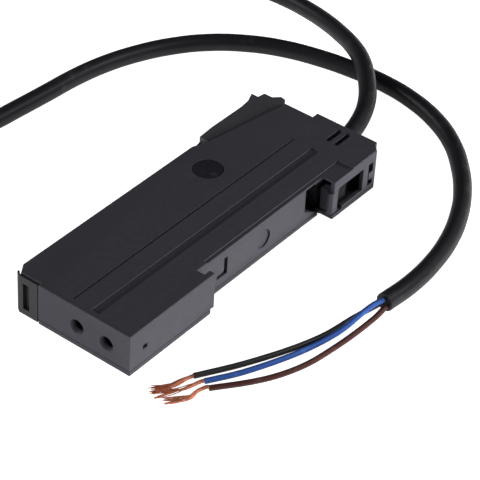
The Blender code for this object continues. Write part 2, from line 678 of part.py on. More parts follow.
def cover_outline():
    """The cover's side view: hinge knuckle, key skirt along the deck, stepped grip and ridge."""
    crest = DISPLAY_HEIGHT + COVER_RISE
    top = DISPLAY_HEIGHT + GRIP_RISE
    gap_start = deck_point(SEAT, FIT)
    gap_end = deck_point(DECK_RUN / math.cos(DECK_ANGLE), FIT)
    ridge_1 = BODY_LENGTH - GRIP_INSET
    ridge_2 = ridge_1 + GRIP_STEP
    ridge_3 = ridge_2 + GRIP_STEP * 0.75
    lowest = top - 3 * GRIP_DROP
    hinge_u = COVER_HINGE[0]
    knuckle = arc(COVER_HINGE, COVER_KNUCKLE, 165.0, 350.0, 12)
    return knuckle + [
        gap_start,
        gap_end,
        (ridge_3 - GRIP_LEAN, lowest - 2 * GRIP_LEAN),
        (ridge_3, lowest + 2 * GRIP_LEAN),
        (ridge_2, top - 2 * GRIP_DROP),
        (ridge_2, top - GRIP_DROP),
        (ridge_1, top - GRIP_DROP + GRIP_LEAN),
        (ridge_1, top),
        (ridge_1 - GRIP_RAMP / 2, crest + GRIP_LEAN),
        (ridge_1 - GRIP_RAMP, crest),
        (hinge_u + COVER_EASE, crest),
        (hinge_u + COVER_EASE * 0.4, crest - COVER_KNUCKLE * 0.25),
        (hinge_u + FIT, crest - COVER_KNUCKLE * 0.7),
        (hinge_u - COVER_KNUCKLE / 2, crest - COVER_KNUCKLE),
    ]


def build_cover(pivot):
    """The hinged cover: a shell over the keys, narrow at its hinge and full width beyond it."""
    low = COVER_SIDE_INSET
    high = THICKNESS - COVER_SIDE_INSET
    shift = Vector(COVER_HINGE)
    outline = [tuple(Vector(point) - shift) for point in cover_outline()]
    cover = prism("protective_cover", outline, low, high, pivot, "cover")
    wide_from = DECK_START[0] + SEAT - COVER_HINGE[0]
    narrow_low = LID_THICKNESS + SEAT
    narrow_high = CASE_INSIDE - SEAT
    reach = 2 * HEIGHT
    cut(cover, box("ear_side_low", (-reach, -reach, low - OVERCUT), (wide_from, reach, narrow_low), pivot))
    cut(cover, box("ear_side_high", (-reach, -reach, narrow_high), (wide_from, reach, high + OVERCUT), pivot))
    crest = DISPLAY_HEIGHT + COVER_RISE - COVER_WALL - COVER_HINGE[1]
    inner_end = BODY_LENGTH - 2 * COVER_WALL - COVER_HINGE[0]
    inner_start = wide_from + COVER_WALL
    hollow = [(inner_start, -HEIGHT / 2), (inner_end, -HEIGHT / 2), (inner_end, crest),
              (inner_start, crest - FIT)]
    cut(cover, prism("cover_hollow", hollow, low + COVER_WALL, high - COVER_WALL, pivot))
    hole = HINGE_PIN / 2 + PIN_FIT
    cut(cover, turned("cover_pin_hole", [(0.0, hole), (THICKNESS, hole)], (0.0, 0.0, 0.0), "Z", pivot,
                      steps=20))
    return cover


def build_pins(datum):
    """Hinge pins of the cover and the lever, held by both wide sides."""
    for name, place, size in (("cover_hinge_pin", COVER_HINGE, HINGE_PIN),
                              ("lever_pin", LEVER_PIVOT, PIN_DIAMETER)):
        low = LID_THICKNESS / 2 + PIN_FIT
        high = THICKNESS - WALL / 2 - PIN_FIT
        turned(name, [(low, size / 2), (high, size / 2)], (*place, 0.0), "Z", datum, "metal", steps=20)


def lever_outline():
    """The lever's side view about its pin: thumb plate, top, round back and cam lobe."""
    front = FIT / 2 - LEVER_PIVOT_IN
    foot = LEVER_FLOOR + 2 * FIT - LEVER_PIVOT[1]
    top = DISPLAY_HEIGHT - LEVER_PIVOT[1] - FIT
    shoulder = DISPLAY_HEIGHT - CORNER_DROP - LEVER_PIVOT[1]
    lobe = LEVER_RADIUS + LEVER_LOBE
    back = arc((0.0, 0.0), LEVER_RADIUS, 40.0, -60.0, 9)[::-1]
    cam = arc((0.0, 0.0), lobe, -108.0, -74.0, 5)
    heel = [(front, foot), (front + LEVER_FLANGE + WALL, foot), (-LEVER_RADIUS, -LEVER_RADIUS)]
    head = [
        (LEVER_RADIUS * 0.75, top),
        (front + CORNER_RUN, top),
        (front + FIT, shoulder + 2 * FIT),
        (front, shoulder - FIT),
    ]
    return heel + cam + back + head


def build_lever(pivot):
    """The fibre lock lever: its body lies between the wide sides, its thumb plate covers them."""
    low = LID_THICKNESS + SEAT
    high = CASE_INSIDE - SEAT
    lever = prism("fibre_lock_lever", lever_outline(), low, high, pivot, "case")
    front = -LEVER_PIVOT_IN
    foot = LEVER_FLOOR + FIT - LEVER_PIVOT[1]
    shoulder = DISPLAY_HEIGHT - CORNER_DROP - LEVER_PIVOT[1]
    crown = shoulder + RIDGE_RISE
    outline = [
        (front, foot),
        (front + LEVER_FLANGE, foot),
        (front + LEVER_FLANGE, shoulder + PIN_FIT),
        (front + RIDGE_REACH, crown - 2 * FIT + PIN_FIT),
        (front + RIDGE_REACH, crown + PIN_FIT),
        (front + RIDGE_REACH - 2 * FIT, crown),
        (front, shoulder),
    ]
    join(lever, prism("thumb_plate", outline, FIT, THICKNESS - FIT, pivot))
    slot = LEVER_FLOOR + FINGER_SLOT_RISE - LEVER_PIVOT[1]
    cut(lever, box("finger_slot", (front - OVERCUT, slot, low + FIT),
                   (front + FINGER_SLOT_DEPTH, slot + FINGER_SLOT_WIDTH, high - FIT), pivot))
    hole = PIN_DIAMETER / 2 + PIN_FIT
    cut(lever, turned("lever_bore", [(0.0, hole), (THICKNESS, hole)], (0.0, 0.0, 0.0), "Z", pivot, steps=20))
    return lever


def build_clamp(datum):
    """The block that pinches both fibres, with the stem that the lever's lobe pushes."""
    low = MIDDLE - CLAMP_WIDTH / 2
    high = MIDDLE + CLAMP_WIDTH / 2
    head = LEVER_FLOOR - SHELF - CLAMP_STROKE - SEAT
    end = CLAMP_IN + CLAMP_LENGTH
    half = CLAMP_STEM / 2
    stem_top = LEVER_PIVOT[1] - LEVER_RADIUS - LEVER_LOBE - FIT
    outline = [(CLAMP_IN, CLAMP_END), (end, CLAMP_END), (end, head), (LEVER_PIVOT_IN + half, head),
               (LEVER_PIVOT_IN + half, stem_top), (LEVER_PIVOT_IN - half, stem_top),
               (LEVER_PIVOT_IN - half, head), (CLAMP_IN, head)]
    clamp = prism("fibre_clamp", outline, low, high, datum, "moulding")
    for side, start, stop in (("low", low - OVERCUT, MIDDLE - CLAMP_STEM),
                              ("high", MIDDLE + CLAMP_STEM, high + OVERCUT)):
        cut(clamp, box(f"stem_side_{side}", (CLAMP_IN, head, start), (end, HEIGHT, stop), datum))
    for number, height in enumerate(FIBRES, start=1):
        middle = (0.0, height - CLAMP_STROKE / 2, MIDDLE)
        profile = [(CLAMP_IN - OVERCUT, CLAMP_BORE / 2), (end + OVERCUT, CLAMP_BORE / 2)]
        cut(clamp, turned(f"clamp_bore_{number}", profile, middle, "X", datum, steps=24))
    return clamp


def build_optics(datum):
    """The holder that lines the fibres up with the light source and the light sensor."""
    end = OPTICS_IN + OPTICS_LENGTH
    low = LID_THICKNESS + LID_RIB_HEIGHT + SEAT
    roof = LEVER_FLOOR - SHELF - SEAT - WALL
    holder = box("optics_holder", (OPTICS_IN, OPTICS_END, low), (end, roof, CASE_INSIDE - SEAT),
                 datum, "moulding")
    pocket = end - OPTICS_POCKET
    can = CAN_DIAMETER / 2
    for number, height in enumerate(FIBRES, start=1):
        profile = [(OPTICS_IN - OVERCUT, FIBRE_BORE / 2), (pocket, FIBRE_BORE / 2), (pocket, can + FIT),
                   (end + OVERCUT, can + FIT)]
        cut(holder, turned(f"optics_bore_{number}", profile, (0.0, height, MIDDLE), "X", datum, steps=24))
    for name, height, finish in (("light_source", FIBRES[0], "lens"), ("light_sensor", FIBRES[1], "dark")):
        tip = pocket + FIT
        rim = end + FIT
        profile = [(tip, can * 0.45), (tip + CAN_FLANGE, can * 0.8), (tip + 2 * CAN_FLANGE, can),
                   (rim, can), (rim, can + CAN_FLANGE), (tip + CAN_LENGTH, can + CAN_FLANGE)]
        turned(name, profile, (0.0, height, MIDDLE), "X", datum, finish, steps=24)


def build_boards(datum, deck):
    """The main board with its large parts, and the key board under the deck."""
    low = LID_THICKNESS + LID_RIB_HEIGHT + FIT
    top = low + BOARD_THICKNESS
    start = OPTICS_IN + CAN_LENGTH + OPTICS_LENGTH
    edge = RAIL_DEPTH + WALL + SEAT
    step = POCKET_ROOF + WALL + SEAT
    step_start = POCKET_START - WALL - SEAT
    upper = DECK_END[1] - SWITCH_DEPTH - SWITCH_HEIGHT - 2 * BOARD_THICKNESS - SEAT
    end = INNER_REAR - SEAT
    outline = [(start, edge), (step_start, edge), (step_start, step), (end, step), (end, upper),
               (start, upper)]
    prism("main_board", outline, low, top, datum, "board")
    chip = (start + end) / 2 - CHIP_SIZE
    rise = top + FIT
    centre = (edge + upper) / 2
    box("processor_chip", (chip, centre - CHIP_SIZE / 2, rise),
        (chip + CHIP_SIZE, centre + CHIP_SIZE / 2, rise + CHIP_HEIGHT), datum, "dark")
    radius = CHIP_HEIGHT * 1.2
    turned("supply_capacitor", [(rise, radius), (rise + 2 * CHIP_HEIGHT, radius)],
           (end - CHIP_SIZE, step + CHIP_HEIGHT * 2, 0.0), "Z", datum, "metal", steps=24)
    key_low = -SWITCH_DEPTH - SWITCH_HEIGHT - SEAT
    deck_length = DECK_RUN / math.cos(DECK_ANGLE)
    box("key_board", (HINGE_BAY_AFTER + WALL, key_low - BOARD_THICKNESS, low),
        (deck_length - REAR_WALL - 2 * SEAT, key_low, CASE_INSIDE - SEAT), deck, "board")


def build_keys(deck):
    """The rocking jog switch on its stem, the round key, and the switches below them."""
    switch_top = -SWITCH_DEPTH
    low = switch_top - SWITCH_HEIGHT
    half = JOG_WIDTH / 2
    box("jog_switch", (JOG_PLACE - half, low, MIDDLE - half), (JOG_PLACE + half, switch_top, MIDDLE + half),
        deck, "dark", bevel=EDGE_ROUND / 2)
    side = KEY_DIAMETER / 2
    box("key_switch", (KEY_PLACE - side, low, MIDDLE - side), (KEY_PLACE + side, switch_top, MIDDLE + side),
        deck, "dark", bevel=EDGE_ROUND / 2)
    press = new_empty("jog_press_axis", (JOG_PLACE, 0.0, 0.0), deck)
    stem_top = -WALL
    turned("jog_stem", [(switch_top + KEY_GAP, CLAMP_STEM), (stem_top, CLAMP_STEM)], (0.0, 0.0, MIDDLE),
           "Y", press, "dark", steps=24)
    tilt = new_empty("jog_tilt_axis", (0.0, stem_top + SEAT, 0.0), press)
    reach = JOG_LENGTH / 2
    rise = JOG_HEIGHT - stem_top - SEAT
    waist = rise - JOG_HEIGHT / 2
    outline = [(-reach, 0.0), (reach, 0.0), (reach, rise), (reach / 2, waist), (-reach / 2, waist),
               (-reach, rise)]
    prism("jog_cap", outline, MIDDLE - half, MIDDLE + half, tilt, "key", bevel=EDGE_ROUND)
    slide = new_empty("key_press_axis", (KEY_PLACE, 0.0, 0.0), deck)
    radius = KEY_DIAMETER / 2
    neck = radius * 0.6
    profile = [(switch_top + KEY_GAP, neck), (stem_top - SEAT, neck), (stem_top - SEAT, radius),
               (KEY_HEIGHT - EDGE_ROUND, radius), (KEY_HEIGHT, radius - EDGE_ROUND)]
    turned("mode_key", profile, (0.0, 0.0, MIDDLE), "Y", slide, "key", steps=28)


def build_hook(pivot):
    """The sprung rail hook: nose with its catch, arm, and the bent leaf behind it."""
    low = INNER_LOW
    high = INNER_LOW + HOOK_WIDTH
    block = HOOK_BLOCK
    chamfer = HOOK_LIP / 2
    arm = HOOK_HEIGHT - HOOK_ARM_THICKNESS
    end = block + HOOK_ARM
    outline = [(-HOOK_NOSE + chamfer, FIT / 2), (block, FIT / 2), (block, arm), (end, arm),
               (end, FOOT_WALL + FIT), (end + FOOT_WALL, FOOT_WALL + FIT), (end + FOOT_WALL, HOOK_HEIGHT),
               (FIT, HOOK_HEIGHT), (FIT, HOOK_LIP), (-HOOK_NOSE, HOOK_LIP), (-HOOK_NOSE, chamfer)]
    hook = prism("rail_hook", outline, low, high, pivot, "case", bevel=EDGE_ROUND / 2)
    finger = box("hook_finger", (FINGER_IN, FOOT_WALL + FIT, FINGER_LOW),
                 (FINGER_IN + FINGER_LENGTH, arm + FIT, FINGER_HIGH), pivot, bevel=EDGE_ROUND / 2)
    join(hook, finger)
    return hook


def build_contacts(datum):
    """Two blades behind the side slots, and the block that holds them."""
    rear = LENGTH - SLOT_FROM_REAR
    start = rear - SLOT_LENGTH + FIT
    end = INNER_REAR - SEAT
    top = CASE_INSIDE
    block_top = CASE_INSIDE - SEAT
    block_low = block_top - CHIP_HEIGHT
    lowest = FOOT_ROOF + WALL + SEAT
    block = box("contact_block", (start - FIT, lowest, block_low),
                (end, SLOT_HEIGHT + SLOT_PITCH, block_top), datum, "moulding")
    half = BLADE_THICKNESS / 2
    for number in (1, 2):
        middle = SLOT_HEIGHT + (number - 1.5) * SLOT_PITCH
        foot = block_top - FOOT_WALL
        cut(block, box(f"blade_slit_{number}", (start - OVERCUT, middle - half - PIN_FIT, foot - PIN_FIT),
                       (end + OVERCUT, middle + half + PIN_FIT, top), datum))
        box(f"contact_blade_{number}", (start, middle - half, foot), (end, middle + half, top),
            datum, "brass")


def build_gland(datum):
    """The grommet round the cable: collar inside, short nose outside."""
    start, neck, collar = gland_bore(0.0)
    nose = LENGTH + GLAND_NOSE
    profile = [(start - GLAND_FLANGE_LENGTH + FIT, collar), (start, collar), (start, neck),
               (nose - FIT, neck), (nose, neck - FIT)]
    bore = CABLE_DIAMETER / 2 + FIT
    return tube_wall("cable_gland", profile, bore, (0.0, CABLE_HEIGHT, MIDDLE), "X", datum, "dark")


# Routes of the cable, in world metres, chosen by hand along its centre line
GLAND_POINT = (LENGTH / 2, CABLE_HEIGHT - HEIGHT / 2, MIDDLE)
EXIT_ROUTE = [
    (0.0416, -0.00475, 0.00455), (0.0440, -0.00410, 0.00466),
    (0.0468, -0.00315, 0.00485), (0.0500, -0.00190, 0.00515),
    (0.0532, -0.00015, 0.00550), (0.0574, 0.00310, 0.00585),
    (0.0616, 0.00710, 0.00592), (0.0661, 0.01290, 0.00530),
    (0.0706, 0.02100, 0.00400), (0.0736, 0.02830, 0.00285),
    (0.0752, 0.03550, 0.00215), (0.0752, 0.04350, 0.00188),
    (0.0725, 0.05200, 0.00185), (0.0675, 0.06050, 0.00185),
    (0.0605, 0.06950, 0.00185), (0.0520, 0.07850, 0.00185),
    (0.0430, 0.08700, 0.00185), (0.0335, 0.09470, 0.00185), (0.0236, 0.10270, 0.00185),
]
RETURN_ROUTE = [
    (-0.0232, 0.07160, 0.01040), (-0.0195, 0.06450, 0.00760),
    (-0.0150, 0.05900, 0.00510), (-0.0092, 0.05520, 0.00300),
    (-0.0030, 0.05340, 0.00205), (0.0040, 0.05260, 0.00185),
    (0.0130, 0.05180, 0.00185), (0.0220, 0.05120, 0.00185),
    (0.0295, 0.05000, 0.00185), (0.0358, 0.04810, 0.00185),
    (0.0412, 0.04580, 0.00185), (0.0460, 0.04300, 0.00185),
    (0.0504, 0.03960, 0.00185), (0.0545, 0.03510, 0.00185),
    (0.0580, 0.02980, 0.00185), (0.0606, 0.02380, 0.00185),
    (0.0623, 0.01740, 0.00185), (0.0633, 0.01100, 0.00185),
    (0.0637, 0.00460, 0.00185), (0.0633, -0.00120, 0.00185),
    (0.0621, -0.00700, 0.00185), (0.0595, -0.01350, 0.00185),
    (0.0542, -0.02120, 0.00185), (0.0450, -0.02920, 0.00185),
    (0.0345, -0.03480, 0.00185), (0.0240, -0.03770, 0.00185),
    (0.0140, -0.03850, 0.00185), (0.0066, -0.03790, 0.00185),
]
CORE_ROUTES = {
    "black": [
        (0.0063, -0.03725, 0.00150), (0.0035, -0.03620, 0.00090),
        (0.0000, -0.03530, 0.00058), (-0.0068, -0.03425, 0.00056),
        (-0.0140, -0.03190, 0.00056), (-0.0226, -0.02800, 0.00056), (-0.0305, -0.02360, 0.00056),
    ],
    "blue": [
        (0.0062, -0.03785, 0.00270), (0.0040, -0.03730, 0.00262),
        (0.0008, -0.03680, 0.00215), (-0.0040, -0.03610, 0.00110),
        (-0.0098, -0.03470, 0.00058), (-0.0165, -0.03265, 0.00056),
        (-0.0243, -0.02935, 0.00056), (-0.0303, -0.02590, 0.00056),
    ],
    "brown": [
        (0.0062, -0.03855, 0.00150), (0.0033, -0.03850, 0.00090),
        (-0.0030, -0.03815, 0.00058), (-0.0093, -0.03755, 0.00056),
        (-0.0151, -0.03660, 0.00056), (-0.0206, -0.03465, 0.00056),
        (-0.0254, -0.03190, 0.00056), (-0.0312, -0.02760, 0.00056),
    ],
}
STRAND_ROUTES = {
    "black": [(-0.0309, -0.02337, 0.00050), (-0.0342, -0.02235, 0.00040), (-0.0385, -0.02040, 0.00040)],
    "blue": [(-0.0307, -0.02567, 0.00050), (-0.0344, -0.02410, 0.00040), (-0.0386, -0.02190, 0.00040)],
    "brown": [(-0.0316, -0.02737, 0.00050), (-0.0350, -0.02640, 0.00040), (-0.0393, -0.02430, 0.00040)],
}


def smooth_route(points, spacing):
    """Points a set distance apart along one smooth curve through the chosen ones."""
    spots = [Vector(point) for point in points]
    fine = []
    for index in range(len(spots) - 1):
        before = spots[index - 1] if index else 2 * spots[0] - spots[1]
        here, there = spots[index], spots[index + 1]
        after = spots[index + 2] if index + 2 < len(spots) else 2 * there - here
        for step in range(16):
            t = step / 16
            bend = 2 * before - 5 * here + 4 * there - after
            twist = 3 * here - before - 3 * there + after
            fine.append(0.5 * (2 * here + (there - before) * t + bend * t ** 2 + twist * t ** 3))
    fine.append(spots[-1])
    total = sum((b - a).length for a, b in zip(fine, fine[1:]))
    count = max(2, round(total / spacing))
    picked = [fine[0]]
    walked = 0.0
    for a, b in zip(fine, fine[1:]):
        walked += (b - a).length
        if walked >= total * len(picked) / count and len(picked) < count:
            picked.append(b)
    return picked + [fine[-1]]


def cord(name, points, diameter, finish, spacing=2.5):
    """A plain round tube along a smooth route."""
    curve = bpy.data.curves.new(name, "CURVE")
    curve.dimensions = "3D"
    curve.bevel_depth = diameter / 2
    curve.bevel_resolution = 2
    curve.use_fill_caps = True
    spline = curve.splines.new("POLY")
    spots = smooth_route(points, spacing * diameter)
    spline.points.add(len(spots) - 1)
    for point, spot in zip(spline.points, spots):
        point.co = (*spot, 1.0)
    curve.materials.append(material(name, finish))
    made = bpy.data.objects.new(name, curve)
    bpy.context.scene.collection.objects.link(made)
    return made


def build_cable():
    """The cable from its gland to its stripped end, with its spare length as one coil."""
    start = Vector(GLAND_POINT) + Vector((GLAND_NOSE + CABLE_GAP, 0.0, 0.0))
    first = [tuple(start), tuple(start + Vector((CABLE_DIAMETER / 3, 0.0, 0.0)))]
    cord("cable_exit_run", first + EXIT_ROUTE, CABLE_DIAMETER, "cable")
    half_width = COIL_TURNS_WIDE * CABLE_DIAMETER / 2
    outer = COIL_MEAN_RADIUS + half_width
    inner = COIL_MEAN_RADIUS - half_width
    height = COIL_LAYERS * CABLE_DIAMETER
    round_off = CABLE_DIAMETER / 4
    profile = [(0.0, outer - round_off), (round_off, outer), (height - round_off, outer),
               (height, outer - round_off)]
    tube_wall("cable_coil", profile, inner, (*COIL_CENTRE, 0.0), "Z", None, "cable", steps=40)
    cord("cable_return_run", RETURN_ROUTE, CABLE_DIAMETER, "cable")
    for colour, route in CORE_ROUTES.items():
        cord(f"core_{colour}", route, CORE_DIAMETER, colour)
        cord(f"strands_{colour}", STRAND_ROUTES[colour], STRAND_DIAMETER, "copper", spacing=3.0)


def clear_scene():
    """Remove what the scene held before."""
    for old in list(bpy.data.objects):
        bpy.data.objects.remove(old, do_unlink=True)


def main():
    """Build every piece of the amplifier."""
    clear_scene()
    datum = new_empty("body_datum", (-LENGTH / 2, -HEIGHT / 2, 0.0))
    deck = new_empty("deck_datum", (*DECK_START, 0.0), datum, DECK_ANGLE)
    cover_axis = new_empty("cover_axis", (*COVER_HINGE, 0.0), datum)
    lever_axis = new_empty("lever_axis", (*LEVER_PIVOT, 0.0), datum)
    hook_axis = new_empty("hook_axis", (REAR_FOOT_START, 0.0, 0.0), datum)
    build_case(datum, deck)
    build_lid(datum)
    build_side_windows(datum)
    build_display(datum)
    build_cover(cover_axis)
    build_pins(datum)
    build_lever(lever_axis)
    build_clamp(datum)
    build_optics(datum)
    build_boards(datum, deck)
    build_keys(deck)
    build_hook(hook_axis)
    build_contacts(datum)
    build_gland(datum)
    build_cable()


main()
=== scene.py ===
"""Looks of the fibre optic sensor amplifier, its cable and its stripped cable end."""
import logging
import math
import random
from dataclasses import dataclass, field
from enum import Enum

import bmesh
import bpy
from mathutils import Matrix, Vector


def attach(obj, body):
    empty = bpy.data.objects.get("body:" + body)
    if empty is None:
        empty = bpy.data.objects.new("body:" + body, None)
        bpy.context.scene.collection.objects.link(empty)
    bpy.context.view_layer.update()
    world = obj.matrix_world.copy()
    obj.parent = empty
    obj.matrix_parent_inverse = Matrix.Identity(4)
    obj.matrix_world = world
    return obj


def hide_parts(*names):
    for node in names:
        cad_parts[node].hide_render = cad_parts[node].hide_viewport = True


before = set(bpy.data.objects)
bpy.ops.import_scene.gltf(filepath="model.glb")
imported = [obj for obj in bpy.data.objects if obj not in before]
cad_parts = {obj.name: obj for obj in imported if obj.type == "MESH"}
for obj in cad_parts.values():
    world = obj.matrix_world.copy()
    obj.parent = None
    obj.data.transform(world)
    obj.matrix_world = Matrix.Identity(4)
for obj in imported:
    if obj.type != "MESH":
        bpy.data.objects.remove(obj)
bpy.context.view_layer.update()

LOG = logging.getLogger("amplifier")
Colour = tuple[float, float, float]
Point = tuple[float, float, float]
Socket = bpy.types.NodeSocket
Node = bpy.types.Node
MM = 0.001
SPLINE_STEPS = 16
CORD_ROUNDNESS = 5
CORD_STEPS = 4


class Surface(Enum):
    """What a finish is made of, which picks the way its material is built."""

    MOULDED = "moulded"
    SHEATH = "sheath"
    CLEAR = "clear"
    BOARD = "board"
    METAL = "metal"
    STRAND = "strand"


# How metallic the metal surfaces are, the bare strands being tarnished
METALLIC: dict[Surface, float] = {Surface.METAL: 1.0, Surface.STRAND: 0.62}


@dataclass(frozen=True)
class Finish:
    """One finish: its colours, gloss and how its surface varies."""

    name: str
    surface: Surface
    colour: Colour
    second: Colour
    roughness: float
    grain: float = 0.5
    grain_size: float = 0.25
    # How strongly convex edges are lightened, partly as edge wear, partly as a painted highlight.
    rub_and_highlight: float = 0.0
    coat: float = 0.0
    alpha: float = 1.0
    # Where along the housing painted shade starts darkening the piece; 0 for none.
    painted_shade_past: float = 0.0


CASE = Finish(
    "case_plastic", Surface.MOULDED, (0.0385, 0.0380, 0.0455), (0.0405, 0.0398, 0.0470),
    roughness=0.50, grain=0.22, grain_size=0.22, rub_and_highlight=0.14)
COVER = Finish(
    "cover_plastic", Surface.MOULDED, (0.0430, 0.0425, 0.0465), (0.0480, 0.0470, 0.0500),
    roughness=0.36, grain=0.15, grain_size=0.30, rub_and_highlight=0.16, coat=0.2)
LEVER = Finish(
    "lever_plastic", Surface.MOULDED, (0.0260, 0.0260, 0.0262), (0.0300, 0.0300, 0.0295),
    roughness=0.46, grain=0.30, grain_size=0.22, rub_and_highlight=0.16)
# The rail hook gets painted shade past its nose, on the part that sits deep in the foot's window.
HOOK = Finish(
    "hook_plastic", Surface.MOULDED, (0.0380, 0.0375, 0.0450), (0.0410, 0.0400, 0.0470),
    roughness=0.46, grain=0.20, grain_size=0.25, rub_and_highlight=0.14, painted_shade_past=0.0234)
INNER = Finish(
    "inner_moulding", Surface.MOULDED, (0.0200, 0.0200, 0.0210), (0.0260, 0.0260, 0.0260),
    roughness=0.60, grain=0.30, grain_size=0.30)
KEYS = Finish(
    "key_plastic", Surface.MOULDED, (0.1500, 0.1500, 0.1600), (0.1750, 0.1750, 0.1800),
    roughness=0.45, grain=0.20, grain_size=0.25, rub_and_highlight=0.3)
MODULE = Finish(
    "display_module", Surface.MOULDED, (0.3000, 0.3000, 0.2800), (0.3400, 0.3400, 0.3200),
    roughness=0.50, grain=0.15, grain_size=0.30)
CHIP = Finish(
    "dark_component", Surface.MOULDED, (0.0140, 0.0140, 0.0150), (0.0200, 0.0200, 0.0200),
    roughness=0.50, grain=0.30, grain_size=0.20)
GLAND = Finish(
    "gland_rubber", Surface.MOULDED, (0.0120, 0.0120, 0.0130), (0.0170, 0.0170, 0.0170),
    roughness=0.55, grain=0.30, grain_size=0.30)
SMOKE = Finish(
    "smoked_window", Surface.CLEAR, (0.0110, 0.0105, 0.0135), (0.0150, 0.0145, 0.0175),
    roughness=0.22, coat=0.3, alpha=0.96)
LAMP = Finish(
    "output_lamp", Surface.CLEAR, (0.5500, 0.2000, 0.0400), (0.6500, 0.2800, 0.0600),
    roughness=0.20, coat=0.5, alpha=0.95)
LENS = Finish(
    "source_lens", Surface.CLEAR, (0.4500, 0.0800, 0.0600), (0.5500, 0.1200, 0.0900),
    roughness=0.15, coat=0.5, alpha=0.95)
BOARD = Finish(
    "circuit_board", Surface.BOARD, (0.0140, 0.0900, 0.0380), (0.0280, 0.1500, 0.0600),
    roughness=0.35, coat=0.3)
STEEL = Finish(
    "pin_steel", Surface.METAL, (0.5000, 0.5000, 0.5100), (0.6200, 0.6200, 0.6200),
    roughness=0.28, grain=0.3, grain_size=0.3)
BRASS = Finish(
    "contact_brass", Surface.METAL, (0.6500, 0.4800, 0.2000), (0.7600, 0.6000, 0.3000),
    roughness=0.30, grain=0.3, grain_size=0.3)
COPPER = Finish(
    "bare_copper", Surface.STRAND, (0.5600, 0.1500, 0.0600), (0.9000, 0.3900, 0.2300),
    roughness=0.30, grain=0.3, grain_size=0.25)
SHEATH = Finish(
    "cable_sheath", Surface.SHEATH, (0.0080, 0.0080, 0.0092), (0.0115, 0.0115, 0.0125),
    roughness=0.40, grain=0.3, grain_size=0.5)
CORE_BLACK = Finish(
    "core_black", Surface.SHEATH, (0.0150, 0.0150, 0.0150), (0.0240, 0.0240, 0.0220),
    roughness=0.35, grain=0.2, grain_size=0.3)
CORE_BLUE = Finish(
    "core_blue", Surface.SHEATH, (0.0180, 0.0560, 0.2200), (0.0270, 0.0760, 0.2700),
    roughness=0.34, grain=0.2, grain_size=0.3)
CORE_BROWN = Finish(
    "core_brown", Surface.SHEATH, (0.0400, 0.0125, 0.0090), (0.0560, 0.0185, 0.0135),
    roughness=0.36, grain=0.2, grain_size=0.3)
TIE = Finish(
    "tie_nylon", Surface.MOULDED, (0.0200, 0.0200, 0.0210), (0.0280, 0.0280, 0.0280),
    roughness=0.40, grain=0.20, grain_size=0.30)


@dataclass(frozen=True)
class Patches:
    """Noise cut to patches: its waves per metre, its finer layers and the cut's two levels."""

    rate: float
    detail: float
    low: float
    high: float


MOULDED_TONE = Patches(rate=140.0, detail=4.0, low=0.35, high=0.65)
DUST = Patches(rate=2600.0, detail=2.0, low=0.72, high=0.80)
# Breaks in the lightened edges, which are edge wear and a painted highlight.
RUB_AND_HIGHLIGHT_BREAKS = Patches(rate=900.0, detail=3.0, low=0.30, high=0.62)
DRAWN_TONE = Patches(rate=90.0, detail=3.0, low=0.30, high=0.70)
SCUFFS = Patches(rate=420.0, detail=5.0, low=0.58, high=0.74)
# Pointiness range of the convex edges lightened as edge wear and painted highlight.
RUB_AND_HIGHLIGHT_EDGE = (0.51, 0.58)


class NodeSheet:
    """A node tree that is filled by name, for materials and for shader groups."""

    def __init__(self, tree: bpy.types.NodeTree) -> None:
        """Keep the tree that the nodes go into.

        Args:
            tree: The material's or the group's node tree.
        """
        self.tree = tree

    def add(self, kind: str, **values: object) -> Node:
        """Add a node and set its properties and unlinked inputs.

        Args:
            kind: The node's type, without its ShaderNode prefix.
            **values: Properties by name, or input values by name with spaces as underscores.

        Returns:
            The new node.
        """
        node = self.tree.nodes.new("ShaderNode" + kind)
        for name, value in values.items():
            if hasattr(node, name):
                setattr(node, name, value)
            else:
                node.inputs[name.replace("_", " ")].default_value = value
        return node

    def link(self, start: Socket, end: Socket) -> None:
        """Join two sockets.

        Args:
            start: The output.
            end: The input.
        """
        self.tree.links.new(start, end)

    def place(self) -> Socket:
        """Object coordinates, which on the solid model's pieces are those of the shared frame.

        Returns:
            The coordinates.
        """
        return self.add("TexCoord").outputs["Object"]

    def noise(self, scale: float, detail: float, vector: Socket) -> Socket:
        """Add a noise texture over a vector.

        Args:
            scale: Waves per unit of the vector.
            detail: Number of finer layers.
            vector: The coordinates that it reads.

        Returns:
            The noise value.
        """
        node = self.add("TexNoise", Scale=scale, Detail=detail)
        self.link(vector, node.inputs["Vector"])
        return node.outputs["Fac"]

    def spread(self, value: Socket, low: float, high: float) -> Socket:
        """Stretch a value so that low becomes 0 and high becomes 1, held between them.

        Args:
            value: The value to stretch.
            low: What becomes 0.
            high: What becomes 1.

        Returns:
            The stretched value.
        """
        node = self.add("MapRange", clamp=True, From_Min=low, From_Max=high)
        self.link(value, node.inputs["Value"])
        return node.outputs["Result"]

    def patches(self, kind: Patches) -> Socket:
        """Add noise in object coordinates, cut to patches.

        Args:
            kind: How fine the noise is and where it is cut.

        Returns:
            A mask, 1 inside the patches.
        """
        return self.spread(self.noise(kind.rate, kind.detail, self.place()), kind.low, kind.high)

    def times(self, first: Socket, second: Socket) -> Socket:
        """Multiply two values.

        Args:
            first: One value.
            second: The other value.

        Returns:
            Their product.
        """
        node = self.add("Math", operation="MULTIPLY")
        self.link(first, node.inputs[0])
        self.link(second, node.inputs[1])
        return node.outputs["Value"]

    def blend(self, mask: Socket, first: Socket | Colour, second: Colour) -> Socket:
        """Go from one colour to a plain one where a mask is high.

        Args:
            mask: Where the second colour shows.
            first: The colour so far, or a plain one.
            second: The plain colour to go to.

        Returns:
            The blended colour.
        """
        node = self.add("Mix", data_type="RGBA")
        colours = [socket for socket in node.inputs if socket.type == "RGBA"]
        if isinstance(first, Socket):
            self.link(first, colours[0])
        else:
            colours[0].default_value = (*first, 1.0)
        colours[1].default_value = (*second, 1.0)
        self.link(mask, node.inputs["Factor"])
        return next(socket for socket in node.outputs if socket.type == "RGBA")


